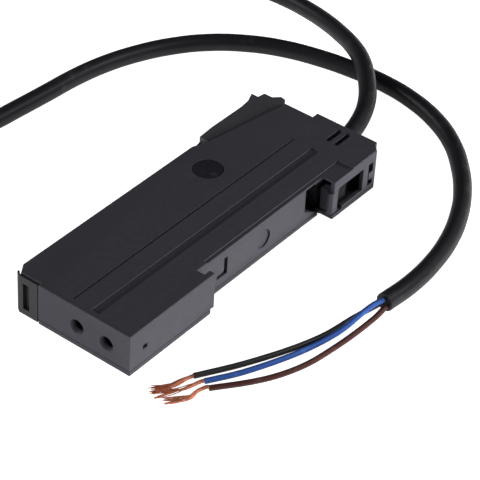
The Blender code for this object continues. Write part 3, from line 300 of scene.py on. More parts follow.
class Effects:
    """The shader groups that several materials share, each made once."""

    def __init__(self) -> None:
        """Build every shared group."""
        self.grain = self.build_surface("moulded_grain", 3.0, MOULDED_TONE, DUST)
        self.rub_and_highlight = self.build_rub_and_highlight()
        self.drawn = self.build_surface("drawn_surface", 2.0, DRAWN_TONE, SCUFFS)

    def start(self, name: str, inputs: dict[str, float],
              outputs: list[str]) -> tuple[NodeSheet, Node, Node]:
        """Open a group with number inputs and outputs.

        Args:
            name: The group's name.
            inputs: Input names with their resting values.
            outputs: Output names.

        Returns:
            The sheet to fill, the group's input node and its output node.
        """
        tree = bpy.data.node_groups.new(name, "ShaderNodeTree")
        for label, value in inputs.items():
            socket = tree.interface.new_socket(name=label, in_out="INPUT",
                                               socket_type="NodeSocketFloat")
            socket.default_value = value
        for label in outputs:
            tree.interface.new_socket(name=label, in_out="OUTPUT", socket_type="NodeSocketFloat")
        sheet = NodeSheet(tree)
        return sheet, tree.nodes.new("NodeGroupInput"), tree.nodes.new("NodeGroupOutput")

    def scaled_coordinates(self, sheet: NodeSheet, size: Socket) -> Socket:
        """Object coordinates divided by a grain size in millimetres.

        Args:
            sheet: The group being filled.
            size: The grain's size.

        Returns:
            The scaled coordinates.
        """
        rate = sheet.add("Math", operation="DIVIDE")
        rate.inputs[0].default_value = 1.0 / MM
        sheet.link(size, rate.inputs[1])
        scaled = sheet.add("VectorMath", operation="SCALE")
        sheet.link(sheet.place(), scaled.inputs[0])
        sheet.link(rate.outputs["Value"], scaled.inputs["Scale"])
        return scaled.outputs["Vector"]

    def build_surface(self, name: str, detail: float, tone: Patches,
                      accent: Patches) -> bpy.types.NodeTree:
        """A surface's texture: a fine height, a slow tone, and dust or scuffs as its accent.

        Args:
            name: The group's name.
            detail: The fine height's number of finer layers.
            tone: The slow tone.
            accent: The dust or the scuffs.

        Returns:
            The group.
        """
        sheet, given, made = self.start(name, {"Size": 0.25, "Amount": 0.5},
                                        ["Height", "Tone", "Accent"])
        scaled = self.scaled_coordinates(sheet, given.outputs["Size"])
        height = sheet.times(sheet.noise(1.0, detail, scaled), given.outputs["Amount"])
        sheet.link(height, made.inputs["Height"])
        sheet.link(sheet.patches(tone), made.inputs["Tone"])
        sheet.link(sheet.patches(accent), made.inputs["Accent"])
        return sheet.tree

    def build_rub_and_highlight(self) -> bpy.types.NodeTree:
        """Edge wear and painted highlight: a mask on convex edges, broken up by noise, which
        lightens them.

        Returns:
            The group.
        """
        sheet, given, made = self.start("edge_rub_and_highlight", {"Amount": 0.5}, ["Mask"])
        edge = sheet.spread(sheet.add("NewGeometry").outputs["Pointiness"], *RUB_AND_HIGHLIGHT_EDGE)
        broken = sheet.times(edge, sheet.patches(RUB_AND_HIGHLIGHT_BREAKS))
        sheet.link(sheet.times(broken, given.outputs["Amount"]), made.inputs["Mask"])
        return sheet.tree


class MaterialShop:
    """Builds each finish's material once and hands it out."""

    COAT_ROUGHNESS = 0.12
    GLOSS_LOW, GLOSS_HIGH = 0.94, 1.07
    DRAWN_BUMP, MOULDED_BUMP = 0.5, 0.18
    BUMP_DEPTH = 0.12
    # Gains: the edges' edge wear and painted highlight, the dust or scuffs, and the board's tracks.
    RUB_GAIN, ACCENT_GAIN, TRACK_GAIN = 1.8, 1.25, 1.6
    LIFT = 0.01
    TRACK_RATE, TRACK_WIDTH = 900.0, 0.06
    # Colour of painted shade, and half the width of its soft edge.
    PAINTED_SHADE_COLOUR: Colour = (0.003, 0.003, 0.003)
    PAINTED_SHADE_EDGE = 0.1 * MM

    def __init__(self, effects: Effects) -> None:
        """Keep the shared groups.

        Args:
            effects: The shader groups that the materials use.
        """
        self.effects = effects
        self.made: dict[str, bpy.types.Material] = {}

    def get(self, finish: Finish) -> bpy.types.Material:
        """The finish's material, made on first use.

        Args:
            finish: The finish wanted.

        Returns:
            Its material.
        """
        if finish.name not in self.made:
            self.made[finish.name] = self.build(finish)
        return self.made[finish.name]

    def build(self, finish: Finish) -> bpy.types.Material:
        """Build a finish's material.

        Args:
            finish: The finish to make.

        Returns:
            The material.
        """
        material = bpy.data.materials.new(finish.name)
        material.use_nodes = True
        sheet = NodeSheet(material.node_tree)
        shader = material.node_tree.nodes["Principled BSDF"]
        shader.inputs["Metallic"].default_value = METALLIC.get(finish.surface, 0.0)
        shader.inputs["Coat Weight"].default_value = finish.coat
        shader.inputs["Coat Roughness"].default_value = self.COAT_ROUGHNESS
        shader.inputs["Alpha"].default_value = finish.alpha
        drawn = finish.surface not in (Surface.MOULDED, Surface.BOARD)
        surface = sheet.add("Group", node_tree=self.effects.drawn if drawn else self.effects.grain)
        surface.inputs["Size"].default_value = finish.grain_size
        surface.inputs["Amount"].default_value = finish.grain
        colour = sheet.blend(surface.outputs["Tone"], finish.colour, finish.second)
        if finish.surface is Surface.BOARD:
            colour = self.tracks(sheet, colour, finish)
        # Convex edges lightened: partly edge wear, partly a painted highlight.
        if finish.rub_and_highlight:
            rub_and_highlight = sheet.add("Group", node_tree=self.effects.rub_and_highlight)
            rub_and_highlight.inputs["Amount"].default_value = finish.rub_and_highlight
            colour = self.lighten(sheet, rub_and_highlight.outputs["Mask"], colour, finish, self.RUB_GAIN)
        colour = self.lighten(sheet, surface.outputs["Accent"], colour, finish, self.ACCENT_GAIN)
        # Painted shade: the piece is darkened towards black past a place along the housing.
        if finish.painted_shade_past:
            colour = self.paint_shade_past(sheet, colour, finish.painted_shade_past)
        sheet.link(colour, shader.inputs["Base Color"])
        gloss = sheet.add("MapRange", To_Min=finish.roughness * self.GLOSS_LOW,
                          To_Max=min(1.0, finish.roughness * self.GLOSS_HIGH))
        sheet.link(surface.outputs["Tone"], gloss.inputs["Value"])
        sheet.link(gloss.outputs["Result"], shader.inputs["Roughness"])
        bump = sheet.add("Bump", Strength=self.DRAWN_BUMP if drawn else self.MOULDED_BUMP,
                         Distance=finish.grain_size * MM * self.BUMP_DEPTH)
        sheet.link(surface.outputs["Height"], bump.inputs["Height"])
        sheet.link(bump.outputs["Normal"], shader.inputs["Normal"])
        return material

    def lighten(self, sheet: NodeSheet, mask: Socket, colour: Socket, finish: Finish,
                gain: float) -> Socket:
        """Lighten a colour where a mask is high.

        Args:
            sheet: The material's sheet.
            mask: Where to lighten.
            colour: The colour so far.
            finish: The finish, whose second colour is made lighter.
            gain: How much lighter.

        Returns:
            The new colour.
        """
        light = tuple(min(1.0, part * gain + self.LIFT) for part in finish.second)
        return sheet.blend(mask, colour, light)

    def paint_shade_past(self, sheet: NodeSheet, colour: Socket, start: float) -> Socket:
        """Paint shade on the part of a piece that lies past a place along the housing, deep inside
        its window, by darkening it towards black.

        Args:
            sheet: The material's sheet.
            colour: The colour so far.
            start: Where the painted shade starts along the housing.

        Returns:
            The new colour.
        """
        apart = sheet.add("SeparateXYZ")
        sheet.link(sheet.place(), apart.inputs["Vector"])
        mask = sheet.spread(apart.outputs["X"], start - self.PAINTED_SHADE_EDGE, start + self.PAINTED_SHADE_EDGE)
        return sheet.blend(mask, colour, self.PAINTED_SHADE_COLOUR)

    def tracks(self, sheet: NodeSheet, colour: Socket, finish: Finish) -> Socket:
        """Copper tracks under the board's varnish.

        Args:
            sheet: The material's sheet.
            colour: The colour so far.
            finish: The board's finish.

        Returns:
            The new colour.
        """
        bricks = sheet.add("TexBrick", Scale=self.TRACK_RATE, Mortar_Size=self.TRACK_WIDTH)
        for name, level in (("Color1", 0.0), ("Color2", 0.0), ("Mortar", 1.0)):
            bricks.inputs[name].default_value = (level, level, level, 1.0)
        sheet.link(sheet.place(), bricks.inputs["Vector"])
        return self.lighten(sheet, bricks.outputs["Color"], colour, finish, self.TRACK_GAIN)


@dataclass(frozen=True)
class Lamp:
    """One wide soft light that faces the object."""

    name: str
    place: Point
    size: tuple[float, float]
    watts: float
    colour: Colour
    glossy: bool


LAMPS = (
    Lamp("key_softbox", (0.34, -0.36, 0.055), (0.30, 0.09), 7.4, (1.0, 0.99, 1.0), glossy=False),
    Lamp("fill_softbox", (-0.78, 0.10, 0.18), (0.50, 0.26), 5.4, (0.96, 0.96, 1.0), glossy=False),
    Lamp("rim_softbox", (-0.30, 0.65, 0.45), (0.50, 0.30), 1.0, (0.96, 0.97, 1.0), glossy=True),
    Lamp("sheen_softbox", (0.30, -0.45, 0.60), (0.30, 0.30), 0.7, (1.0, 0.99, 1.0), glossy=True),
)


@dataclass
class Shot:
    """The camera at the photograph's angle, and the floor and light round the object."""

    place: Point = (-0.263917, -0.202212, 0.265165)
    azimuth: float = -53.8648
    elevation: float = 38.5069
    roll: float = 3.4874
    lens: float = 169.936
    sensor: float = 36.0
    clip: tuple[float, float] = (0.01, 20.0)
    floor_size: float = 3.0
    floor_squares: int = 8
    floor_height: float = -0.00005
    floor_grey: float = 0.90
    floor_roughness: float = 0.9
    floor_specular: float = 0.1
    floor_glow: float = 0.98
    floor_bounce: float = 0.20
    sky: Colour = (0.058, 0.058, 0.068)

    def build(self) -> None:
        """Make the camera, the floor and the lights."""
        self.build_camera()
        self.build_floor()
        self.build_light()

    def build_camera(self) -> None:
        """Set the camera where the photograph was taken from."""
        turn, rise, roll = (math.radians(angle)
                            for angle in (self.azimuth, self.elevation, self.roll))
        back = Vector((math.sin(turn) * math.cos(rise), -math.cos(turn) * math.cos(rise),
                       math.sin(rise)))
        right = Vector((0.0, 0.0, 1.0)).cross(back).normalized()
        up = back.cross(right)
        tilted_right = right * math.cos(roll) + up * math.sin(roll)
        tilted_up = up * math.cos(roll) - right * math.sin(roll)
        data = bpy.data.cameras.new("photo_camera")
        data.lens = self.lens
        data.sensor_width = self.sensor
        data.clip_start, data.clip_end = self.clip
        camera = bpy.data.objects.new("photo_camera", data)
        pose = Matrix((tilted_right, tilted_up, back)).transposed().to_4x4()
        pose.translation = Vector(self.place)
        camera.matrix_world = pose
        bpy.context.scene.collection.objects.link(camera)
        bpy.context.scene.camera = camera

    def build_floor(self) -> None:
        """A plain pale floor that looks white to the camera and gives the object little light."""
        shape = bmesh.new()
        bmesh.ops.create_grid(shape, x_segments=self.floor_squares, y_segments=self.floor_squares,
                              size=self.floor_size / 2)
        mesh = bpy.data.meshes.new("floor")
        shape.to_mesh(mesh)
        shape.free()
        floor = bpy.data.objects.new("floor", mesh)
        floor.location = (0.0, 0.0, self.floor_height)
        material = bpy.data.materials.new("pale_floor")
        material.use_nodes = True
        shader = material.node_tree.nodes["Principled BSDF"]
        shader.inputs["Base Color"].default_value = (*[self.floor_grey] * 3, 1.0)
        shader.inputs["Roughness"].default_value = self.floor_roughness
        shader.inputs["Specular IOR Level"].default_value = self.floor_specular
        shader.inputs["Emission Color"].default_value = (1.0, 1.0, 1.0, 1.0)
        sheet = NodeSheet(material.node_tree)
        glow = sheet.add("MapRange", To_Min=self.floor_bounce, To_Max=self.floor_glow)
        sheet.link(sheet.add("LightPath").outputs["Is Camera Ray"], glow.inputs["Value"])
        sheet.link(glow.outputs["Result"], shader.inputs["Emission Strength"])
        mesh.materials.append(material)
        bpy.context.scene.collection.objects.link(floor)

    def build_light(self) -> None:
        """A dim even sky and the soft lights."""
        world = bpy.data.worlds.new("studio")
        world.use_nodes = True
        ground = world.node_tree.nodes["Background"]
        ground.inputs["Color"].default_value = (*self.sky, 1.0)
        ground.inputs["Strength"].default_value = 1.0
        bpy.context.scene.world = world
        for lamp in LAMPS:
            self.build_lamp(lamp)
        bpy.context.scene.view_settings.view_transform = "Standard"
        bpy.context.scene.view_settings.look = "None"

    def build_lamp(self, lamp: Lamp) -> None:
        """Make one soft light.

        Args:
            lamp: Its place, size, power and colour.
        """
        data = bpy.data.lights.new(lamp.name, "AREA")
        data.energy = lamp.watts
        data.shape = "RECTANGLE"
        data.size, data.size_y = lamp.size
        data.color = lamp.colour
        light = bpy.data.objects.new(lamp.name, data)
        light.location = lamp.place
        light.rotation_mode = "QUATERNION"
        light.rotation_quaternion = Vector(lamp.place).to_track_quat("Z", "Y")
        light.visible_glossy = lamp.glossy
        light.visible_camera = False
        bpy.context.scene.collection.objects.link(light)


def smooth_route(points: list[Point], count: int) -> list[Vector]:
    """Points a set distance apart along one smooth curve through the chosen ones.

    Args:
        points: The route's own points.
        count: How many stretches to cut it into.

    Returns:
        The points along the curve, its ends among them.
    """
    spots = [Vector(point) for point in points]
    fine = []
    for index in range(len(spots) - 1):
        before = spots[index - 1] if index else 2 * spots[0] - spots[1]
        here, there = spots[index], spots[index + 1]
        after = spots[index + 2] if index + 2 < len(spots) else 2 * there - here
        for step in range(SPLINE_STEPS):
            t = step / SPLINE_STEPS
            fine.append(0.5 * (2 * here + (there - before) * t
                               + (2 * before - 5 * here + 4 * there - after) * t ** 2
                               + (3 * here - before - 3 * there + after) * t ** 3))
    fine.append(spots[-1])
    total = sum((b - a).length for a, b in zip(fine, fine[1:]))
    picked = [fine[0]]
    walked = 0.0
    for a, b in zip(fine, fine[1:]):
        walked += (b - a).length
        if walked >= total * len(picked) / count and len(picked) < count:
            picked.append(b)
    return picked + [fine[-1]]


def route_length(points: list[Vector]) -> float:
    """Length of a line through points.

    Args:
        points: The points, in order.

    Returns:
        The length.
    """
    return sum((b - a).length for a, b in zip(points, points[1:]))


def curve_piece(name: str, points: list[Vector], diameter: float,
                material: bpy.types.Material) -> bpy.types.Object:
    """A round cord on one smooth open spline.

    Args:
        name: The piece's name.
        points: The points that it passes through.
        diameter: How thick it is.
        material: Its material.

    Returns:
        The curve object.
    """
    data = bpy.data.curves.new(name, "CURVE")
    data.dimensions = "3D"
    data.bevel_depth = diameter / 2
    data.bevel_resolution = CORD_ROUNDNESS
    data.resolution_u = CORD_STEPS
    data.use_fill_caps = True
    spline = data.splines.new("BEZIER")
    spline.bezier_points.add(len(points) - 1)
    for knot, spot in zip(spline.bezier_points, points):
        knot.co = spot
        knot.handle_left_type = "AUTO"
        knot.handle_right_type = "AUTO"
    data.materials.append(material)
    piece = bpy.data.objects.new(name, data)
    bpy.context.scene.collection.objects.link(piece)
    return piece


def mesh_piece(name: str, shape: bmesh.types.BMesh, material: bpy.types.Material,
               angle: float = 35.0) -> bpy.types.Object:
    """Turn a bmesh into a piece in the scene.

    Args:
        name: The piece's name.
        shape: The bmesh, which is used up.
        material: Its material.
        angle: Edges sharper than this stay sharp, in degrees.

    Returns:
        The mesh object.
    """
    bmesh.ops.recalc_face_normals(shape, faces=shape.faces)
    mesh = bpy.data.meshes.new(name)
    shape.to_mesh(mesh)
    shape.free()
    mesh.shade_smooth()
    mesh.set_sharp_from_angle(angle=math.radians(angle))
    mesh.materials.append(material)
    piece = bpy.data.objects.new(name, mesh)
    bpy.context.scene.collection.objects.link(piece)
    return piece


def add_wire(shape: bmesh.types.BMesh, points: list[Vector], radius: float, sides: int,
             taper: float) -> None:
    """Add one closed thin wire along points to a bmesh.

    Args:
        shape: The bmesh that it joins.
        points: Its centre line.
        radius: Its radius.
        sides: How many sides it has.
        taper: Its last radius as a share of the first.
    """
    rings = []
    side = Vector((0.0, 0.0, 1.0))
    angles = [2 * math.pi * step / sides for step in range(sides)]
    for index, spot in enumerate(points):
        ahead = points[min(index + 1, len(points) - 1)] - points[max(index - 1, 0)]
        across = ahead.cross(side).normalized()
        upward = across.cross(ahead).normalized()
        width = radius * (1.0 + (taper - 1.0) * index / (len(points) - 1))
        rings.append([shape.verts.new(spot + (across * math.cos(a) + upward * math.sin(a)) * width)
                      for a in angles])
    for lower, upper in zip(rings, rings[1:]):
        for step in range(sides):
            after = (step + 1) % sides
            shape.faces.new((lower[step], lower[after], upper[after], upper[step]))
    shape.faces.new(rings[0][::-1])
    shape.faces.new(rings[-1])


# Routes of the cable along its centre line, the same points as the solid model's
EXIT_ROUTE: list[Point] = [
    (0.0391, -0.00495, 0.00450), (0.0403, -0.00495, 0.00450), (0.0416, -0.00475, 0.00455),
    (0.0440, -0.00410, 0.00466), (0.0468, -0.00315, 0.00485), (0.0500, -0.00190, 0.00515),
    (0.0532, -0.00015, 0.00550), (0.0574, 0.00310, 0.00585), (0.0616, 0.00710, 0.00592),
    (0.0661, 0.01290, 0.00530), (0.0706, 0.02100, 0.00400), (0.0736, 0.02830, 0.00285),
    (0.0752, 0.03550, 0.00215), (0.0752, 0.04350, 0.00188), (0.0725, 0.05200, 0.00185),
    (0.0675, 0.06050, 0.00185), (0.0605, 0.06950, 0.00185), (0.0520, 0.07850, 0.00185),
    (0.0430, 0.08700, 0.00185), (0.0335, 0.09470, 0.00185), (0.0236, 0.10270, 0.00185),
]
RETURN_ROUTE: list[Point] = [
    (-0.0232, 0.07160, 0.01040), (-0.0195, 0.06450, 0.00760), (-0.0150, 0.05900, 0.00510),
    (-0.0092, 0.05520, 0.00300), (-0.0030, 0.05340, 0.00205), (0.0040, 0.05260, 0.00185),
    (0.0130, 0.05180, 0.00185), (0.0220, 0.05120, 0.00185), (0.0295, 0.05000, 0.00185),
    (0.0358, 0.04810, 0.00185), (0.0412, 0.04580, 0.00185), (0.0460, 0.04300, 0.00185),
    (0.0504, 0.03960, 0.00185), (0.0545, 0.03510, 0.00185), (0.0580, 0.02980, 0.00185),
    (0.0606, 0.02380, 0.00185), (0.0623, 0.01740, 0.00185), (0.0633, 0.01100, 0.00185),
    (0.0637, 0.00460, 0.00185), (0.0633, -0.00120, 0.00185), (0.0621, -0.00700, 0.00185),
    (0.0595, -0.01350, 0.00185), (0.0542, -0.02120, 0.00185), (0.0450, -0.02920, 0.00185),
    (0.0345, -0.03480, 0.00185), (0.0240, -0.03770, 0.00185), (0.0140, -0.03850, 0.00185),
    (0.0066, -0.03790, 0.00185),
]
CORE_ROUTES: dict[str, list[Point]] = {
    "black": [
        (0.0063, -0.03725, 0.00150), (0.0035, -0.03620, 0.00090), (0.0000, -0.03530, 0.00058),
        (-0.0068, -0.03425, 0.00056), (-0.0140, -0.03190, 0.00056), (-0.0226, -0.02800, 0.00056),
        (-0.0305, -0.02360, 0.00056),
    ],
    "blue": [
        (0.0062, -0.03785, 0.00270), (0.0040, -0.03730, 0.00262), (0.0008, -0.03680, 0.00215),
        (-0.0040, -0.03610, 0.00110), (-0.0098, -0.03470, 0.00058), (-0.0165, -0.03265, 0.00056),
        (-0.0243, -0.02935, 0.00056), (-0.0303, -0.02590, 0.00056),
    ],
    "brown": [
        (0.0062, -0.03855, 0.00150), (0.0033, -0.03850, 0.00090), (-0.0030, -0.03815, 0.00058),
        (-0.0093, -0.03755, 0.00056), (-0.0151, -0.03660, 0.00056), (-0.0206, -0.03465, 0.00056),
        (-0.0254, -0.03190, 0.00056), (-0.0312, -0.02760, 0.00056),
    ],
}
STRAND_ROUTES: dict[str, list[list[Point]]] = {
    "black": [[
        (-0.03065, -0.02345, 0.00052), (-0.03257, -0.02288, 0.00050), (-0.03500, -0.02242, 0.00055),
        (-0.03712, -0.02148, 0.00050), (-0.03889, -0.02038, 0.00040),
    ]],
    "blue": [[
        (-0.03064, -0.02547, 0.00052), (-0.03253, -0.02488, 0.00046), (-0.03460, -0.02411, 0.00042),
        (-0.03651, -0.02278, 0.00036), (-0.03874, -0.02105, 0.00030),
    ]],
    "brown": [[
        (-0.03121, -0.02704, 0.00050), (-0.03305, -0.02642, 0.00045), (-0.03472, -0.02640, 0.00040),
        (-0.03636, -0.02534, 0.00035), (-0.03871, -0.02304, 0.00030),
    ], [
        (-0.03121, -0.02704, 0.00050), (-0.03310, -0.02647, 0.00040), (-0.03489, -0.02659, 0.00030),
        (-0.03682, -0.02573, 0.00025), (-0.03925, -0.02401, 0.00020),
    ]],
}
SPREADS: dict[str, float] = {"black": 0.0016, "blue": 0.0013, "brown": 0.00025}


@dataclass
class Cable:
    """The sheathed cable: out of its gland, over itself, into its coil and back to its end."""

    shop: MaterialShop
    diameter: float = 0.0037
    coil_centre: tuple[float, float] = (-0.0040, 0.0935)
    coil_radius: float = 0.0216
    turns_wide: int = 3
    layers: int = 4
    points_per_turn: int = 20
    exit_stretches: int = 22
    return_stretches: int = 26
    crossing: float = 60.0
    join_angle: float = 52.0
    leave_angle: float = 215.0

    def build(self, with_pieces: list[bpy.types.Object | str]) -> bpy.types.Object:
        """Args:
            with_pieces: The separate pieces on the cable; not used.

        Returns:
            The cable.
        """
        out = smooth_route(EXIT_ROUTE, self.exit_stretches)
        back = smooth_route(RETURN_ROUTE, self.return_stretches)
        line = out + self.coil() + back
        piece = curve_piece("cable", line, self.diameter, self.shop.get(SHEATH))
        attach(piece, "case")
        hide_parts("cable_exit_run", "cable_coil", "cable_return_run")
        LOG.info("cable of %.2f m", route_length(line))
        return piece

    def coil(self) -> list[Vector]:
        """The coil's turns, layer by layer: inwards, outwards, inwards and outwards again.

        Returns:
            The centre line's points from where the cable joins the coil to where it leaves.
        """
        total = self.turns_wide * self.layers
        sweep = 360.0 * (total - 1) + (self.leave_angle - self.join_angle) % 360.0
        steps = round(sweep / 360.0 * self.points_per_turn)
        spots = []
        for step in range(steps + 1):
            travel = sweep * step / steps
            turn = int(travel // 360.0)
            within = travel % 360.0
            shift = max(0.0, (within - (360.0 - self.crossing)) / self.crossing)
            shift = shift * shift * (3.0 - 2.0 * shift)
            here = self.turn_place(turn)
            after = self.turn_place(min(turn + 1, total - 1))
            radius = here[0] + (after[0] - here[0]) * shift
            height = here[1] + (after[1] - here[1]) * shift
            angle = math.radians(self.join_angle + travel)
            spots.append(Vector((self.coil_centre[0] + radius * math.cos(angle),
                                 self.coil_centre[1] + radius * math.sin(angle), height)))
        return spots

    def turn_place(self, turn: int) -> tuple[float, float]:
        """Radius and height of one turn.

        Args:
            turn: The turn, counted along the cable.

        Returns:
            Its radius and the height of its centre line.
        """
        layer, place = divmod(turn, self.turns_wide)
        if layer % 2 == 0:
            place = self.turns_wide - 1 - place
        radius = self.coil_radius + (place - (self.turns_wide - 1) / 2) * self.diameter
        return radius, self.diameter * (layer + 0.5)


@dataclass
class CoilTies:
    """The two thin bands that hold the coil together."""

    shop: MaterialShop
    cable: Cable
    angles: tuple[float, ...] = (120.0, 300.0)
    width: float = 0.0024
    thickness: float = 0.0005
    lowest: float = 0.00005
    corner_points: int = 6

    def build(self) -> list[bpy.types.Object]:
        """Make the bands and let them ride with the cable.

        Returns:
            The bands.
        """
        pieces = []
        half = self.cable.turns_wide * self.cable.diameter / 2
        height = self.cable.layers * self.cable.diameter
        for number, angle in enumerate(self.angles, start=1):
            shape = bmesh.new()
            rings = []
            for swell in (0.0, self.thickness):
                for side in (-self.width / 2, self.width / 2):
                    rings.append([shape.verts.new(self.place(angle, spot, side))
                                  for spot in self.section(half, height, swell)])
            count = len(rings[0])
            for first, second in ((0, 1), (1, 3), (3, 2), (2, 0)):
                for step in range(count):
                    after = (step + 1) % count
                    shape.faces.new((rings[first][step], rings[first][after],
                                     rings[second][after], rings[second][step]))
            piece = mesh_piece(f"coil_tie_{number}", shape, self.shop.get(TIE))
            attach(piece, "case")
            pieces.append(piece)
        return pieces

    def section(self, half: float, height: float, swell: float) -> list[tuple[float, float]]:
        """The band's rounded outline round the coil's section.

        Args:
            half: Half the coil's width.
            height: The coil's height.
            swell: How far the outline stands out from the coil.

        Returns:
            Pairs of distance from the middle of the turns and height.
        """
        corner = self.cable.diameter / 2
        low = 0.0 if swell else self.lowest
        outline = []
        right, left, top = half - corner, corner - half, height - corner
        for centre, start in (((right, corner), -90.0), ((right, top), 0.0), ((left, top), 90.0),
                              ((left, corner), 180.0)):
            for step in range(self.corner_points):
                angle = math.radians(start + 90.0 * step / (self.corner_points - 1))
                reach = corner + swell
                outline.append((centre[0] + reach * math.cos(angle),
                                max(low, centre[1] + reach * math.sin(angle))))
        return outline

    def place(self, angle: float, spot: tuple[float, float], side: float) -> Vector:
        """A point of the band in the scene.

        Args:
            angle: Where the band is round the coil, in degrees.
            spot: Distance from the middle of the turns and height.
            side: Distance along the cable.

        Returns:
            The point.
        """
        outward = Vector((math.cos(math.radians(angle)), math.sin(math.radians(angle)), 0.0))
        along = Vector((-outward.y, outward.x, 0.0))
        centre = Vector((*self.cable.coil_centre, 0.0))
        return (centre + outward * (self.cable.coil_radius + spot[0]) + along * side
                + Vector((0.0, 0.0, spot[1])))


@dataclass
class StrippedEnd:
    """The three cores that leave the sheath, and their bare frayed strands."""

    shop: MaterialShop
    core_diameter: float = 0.0011
    core_stretches: int = 18
    wire_radius: float = 0.0001
    wire_sides: int = 6
    wire_taper: float = 0.85
    wire_clearance: float = 1.1
    smooth_angle: float = 80.0
    bundle_radius: float = 0.00027
    bundle_taper: float = 0.3
    bundle_stretches: int = 30
    bundle_tuck: float = 0.1
    twist: float = 6.0
    shortest: float = 0.88
    fray_start: float = 0.15
    fray_power: float = 1.2
    fray_lift: float = 0.0005
    wires: int = 16
    seed: int = 7
    finishes: dict[str, Finish] = field(default_factory=lambda: {
        "black": CORE_BLACK, "blue": CORE_BLUE, "brown": CORE_BROWN})

    def build(self) -> list[bpy.types.Object]:
        """Make the cores and strands, each hung on the case.

        Returns:
            Every piece of the stripped end.
        """
        pieces = []
        for number, (colour, finish) in enumerate(self.finishes.items()):
            strands = self.strands(colour, number)
            line = smooth_route(CORE_ROUTES[colour], self.core_stretches)
            core = curve_piece(f"insulated_core_{colour}", line, self.core_diameter,
                               self.shop.get(finish))
            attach(core, "case")
            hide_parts(f"core_{colour}")
            pieces += [core, strands]
            LOG.info("core %s of %.1f mm", colour, route_length(line) / MM)
        return pieces

    def wire(self, shape: bmesh.types.BMesh, middle: list[Vector], phase: float, fan_width: float,
             draw: random.Random) -> None:
        """Add one bare wire, twisted with the others at first and free at its tip.

        Args:
            shape: The bmesh that it joins.
            middle: The bundle's centre line.
            phase: Where it lies round the bundle at its start.
            fan_width: How far apart the tips spread.
            draw: The random numbers.
        """
        fan = draw.uniform(-1.0, 1.0)
        lift = draw.uniform(0.0, 1.0)
        reach = draw.uniform(self.shortest, 1.0)
        last = len(middle) - 1
        points = []
        for index in range(len(middle)):
            share = index / last * reach
            here = min(last - 1, int(share * last))
            base = middle[here].lerp(middle[here + 1], share * last - here)
            ahead = middle[min(here + 2, last)] - middle[max(here - 1, 0)]
            across = Vector((-ahead.y, ahead.x, 0.0)).normalized()
            twist = phase + share * self.twist
            bundle = self.bundle_radius * (1.0 - self.bundle_taper * share)
            spread = max(0.0, share - self.fray_start) ** self.fray_power
            point = base + across * (bundle * math.cos(twist) + spread * fan * fan_width)
            point.z += bundle * math.sin(twist) + spread * lift * self.fray_lift
            point.z = max(point.z, self.wire_radius * self.wire_clearance)
            points.append(point)
        add_wire(shape, points, self.wire_radius, self.wire_sides, self.wire_taper)

    def strands(self, colour: str, number: int) -> bpy.types.Object:
        """The bare wires of one core, twisted near the core and spread at their tips.

        Args:
            colour: The core's colour name.
            number: The core's number, which sets its random draws.

        Returns:
            The bundle as one piece.
        """
        draw = random.Random(self.seed + number)
        shape = bmesh.new()
        branches = STRAND_ROUTES[colour]
        wires = self.wires // len(branches)
        before, end = (Vector(point) for point in CORE_ROUTES[colour][-2:])
        tucked = end * (1.0 - self.bundle_tuck) + before * self.bundle_tuck
        for branch in branches:
            middle = smooth_route([tuple(tucked), *branch], self.bundle_stretches)
            for wire in range(wires):
                self.wire(shape, middle, 2 * math.pi * wire / wires, SPREADS[colour], draw)
        piece = mesh_piece(f"copper_strands_{colour}", shape, self.shop.get(COPPER),
                           self.smooth_angle)
        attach(piece, "case")
        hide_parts(f"strands_{colour}")
        return piece


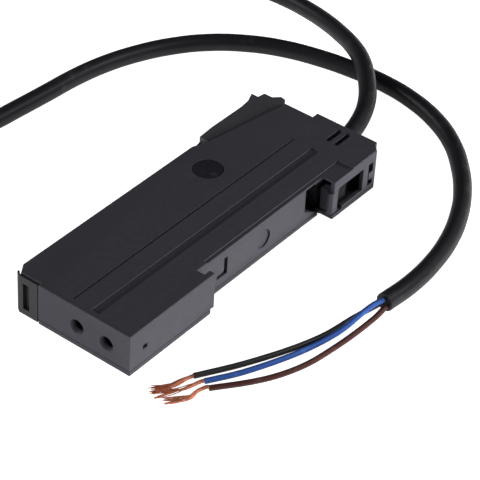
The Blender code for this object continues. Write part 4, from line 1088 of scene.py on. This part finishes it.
@dataclass
class Mouldings:
    """The moulded and inner pieces that keep their solid shape, with softened edges."""

    shop: MaterialShop
    finishes: dict[str, Finish] = field(default_factory=lambda: {
        "main_case": CASE, "side_lid": CASE, "protective_cover": COVER, "fibre_lock_lever": LEVER,
        "rail_hook": HOOK, "fibre_clamp": INNER, "optics_holder": INNER, "contact_block": INNER,
        "display_window": SMOKE, "side_window_upper": SMOKE, "side_window_lower": SMOKE,
        "display_module": MODULE, "output_lamp": LAMP, "light_source": LENS, "light_sensor": CHIP,
        "main_board": BOARD, "display_board": BOARD, "key_board": BOARD, "processor_chip": CHIP,
        "supply_capacitor": STEEL, "jog_switch": CHIP, "key_switch": CHIP, "jog_stem": CHIP,
        "jog_cap": KEYS, "mode_key": KEYS, "cover_hinge_pin": STEEL, "lever_pin": STEEL,
        "contact_blade_1": BRASS, "contact_blade_2": BRASS, "cable_gland": GLAND,
    })
    edges: dict[str, float] = field(default_factory=lambda: {
        "main_case": 0.00016, "side_lid": 0.00016, "protective_cover": 0.00030,
        "fibre_lock_lever": 0.00014, "rail_hook": 0.00014, "display_window": 0.00010,
        "jog_cap": 0.00020, "mode_key": 0.00020, "output_lamp": 0.00010, "cable_gland": 0.00014,
    })
    weld: float = 0.000001
    flat_angle: float = 1.0
    sharp_angle: float = 32.0
    segments: int = 2

    def build(self) -> None:
        """Dress every node that keeps its shape."""
        for name, finish in self.finishes.items():
            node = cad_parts[name]
            node.data.materials.clear()
            node.data.materials.append(self.shop.get(finish))
            if name in self.edges:
                self.soften(node, self.edges[name])
            LOG.info("%s in %s", name, finish.name)

    def soften(self, node: bpy.types.Object, edge: float) -> None:
        """Merge the flat faces, round the sharp edges a little and even the shading.

        Args:
            node: The node's object.
            edge: How wide the rounding is.
        """
        weld = node.modifiers.new("one_surface", "WELD")
        weld.merge_threshold = self.weld
        flat = node.modifiers.new("flat_faces", "DECIMATE")
        flat.decimate_type = "DISSOLVE"
        flat.angle_limit = math.radians(self.flat_angle)
        round_off = node.modifiers.new("round_edges", "BEVEL")
        round_off.width = edge
        round_off.segments = self.segments
        round_off.limit_method = "ANGLE"
        round_off.angle_limit = math.radians(self.sharp_angle)
        round_off.use_clamp_overlap = True
        even = node.modifiers.new("even_shading", "WEIGHTED_NORMAL")
        even.keep_sharp = False


def main() -> None:
    """Build the scene in order and report each part."""
    logging.basicConfig(level=logging.INFO, format="%(message)s")
    shop = MaterialShop(Effects())
    Shot().build()
    LOG.info("camera, floor and light")
    end = StrippedEnd(shop).build()
    cable = Cable(shop)
    ties = CoilTies(shop, cable).build()
    cable.build([*end, *ties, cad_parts["cable_gland"]])
    Mouldings(shop).build()


if __name__ == "__main__":
    main()
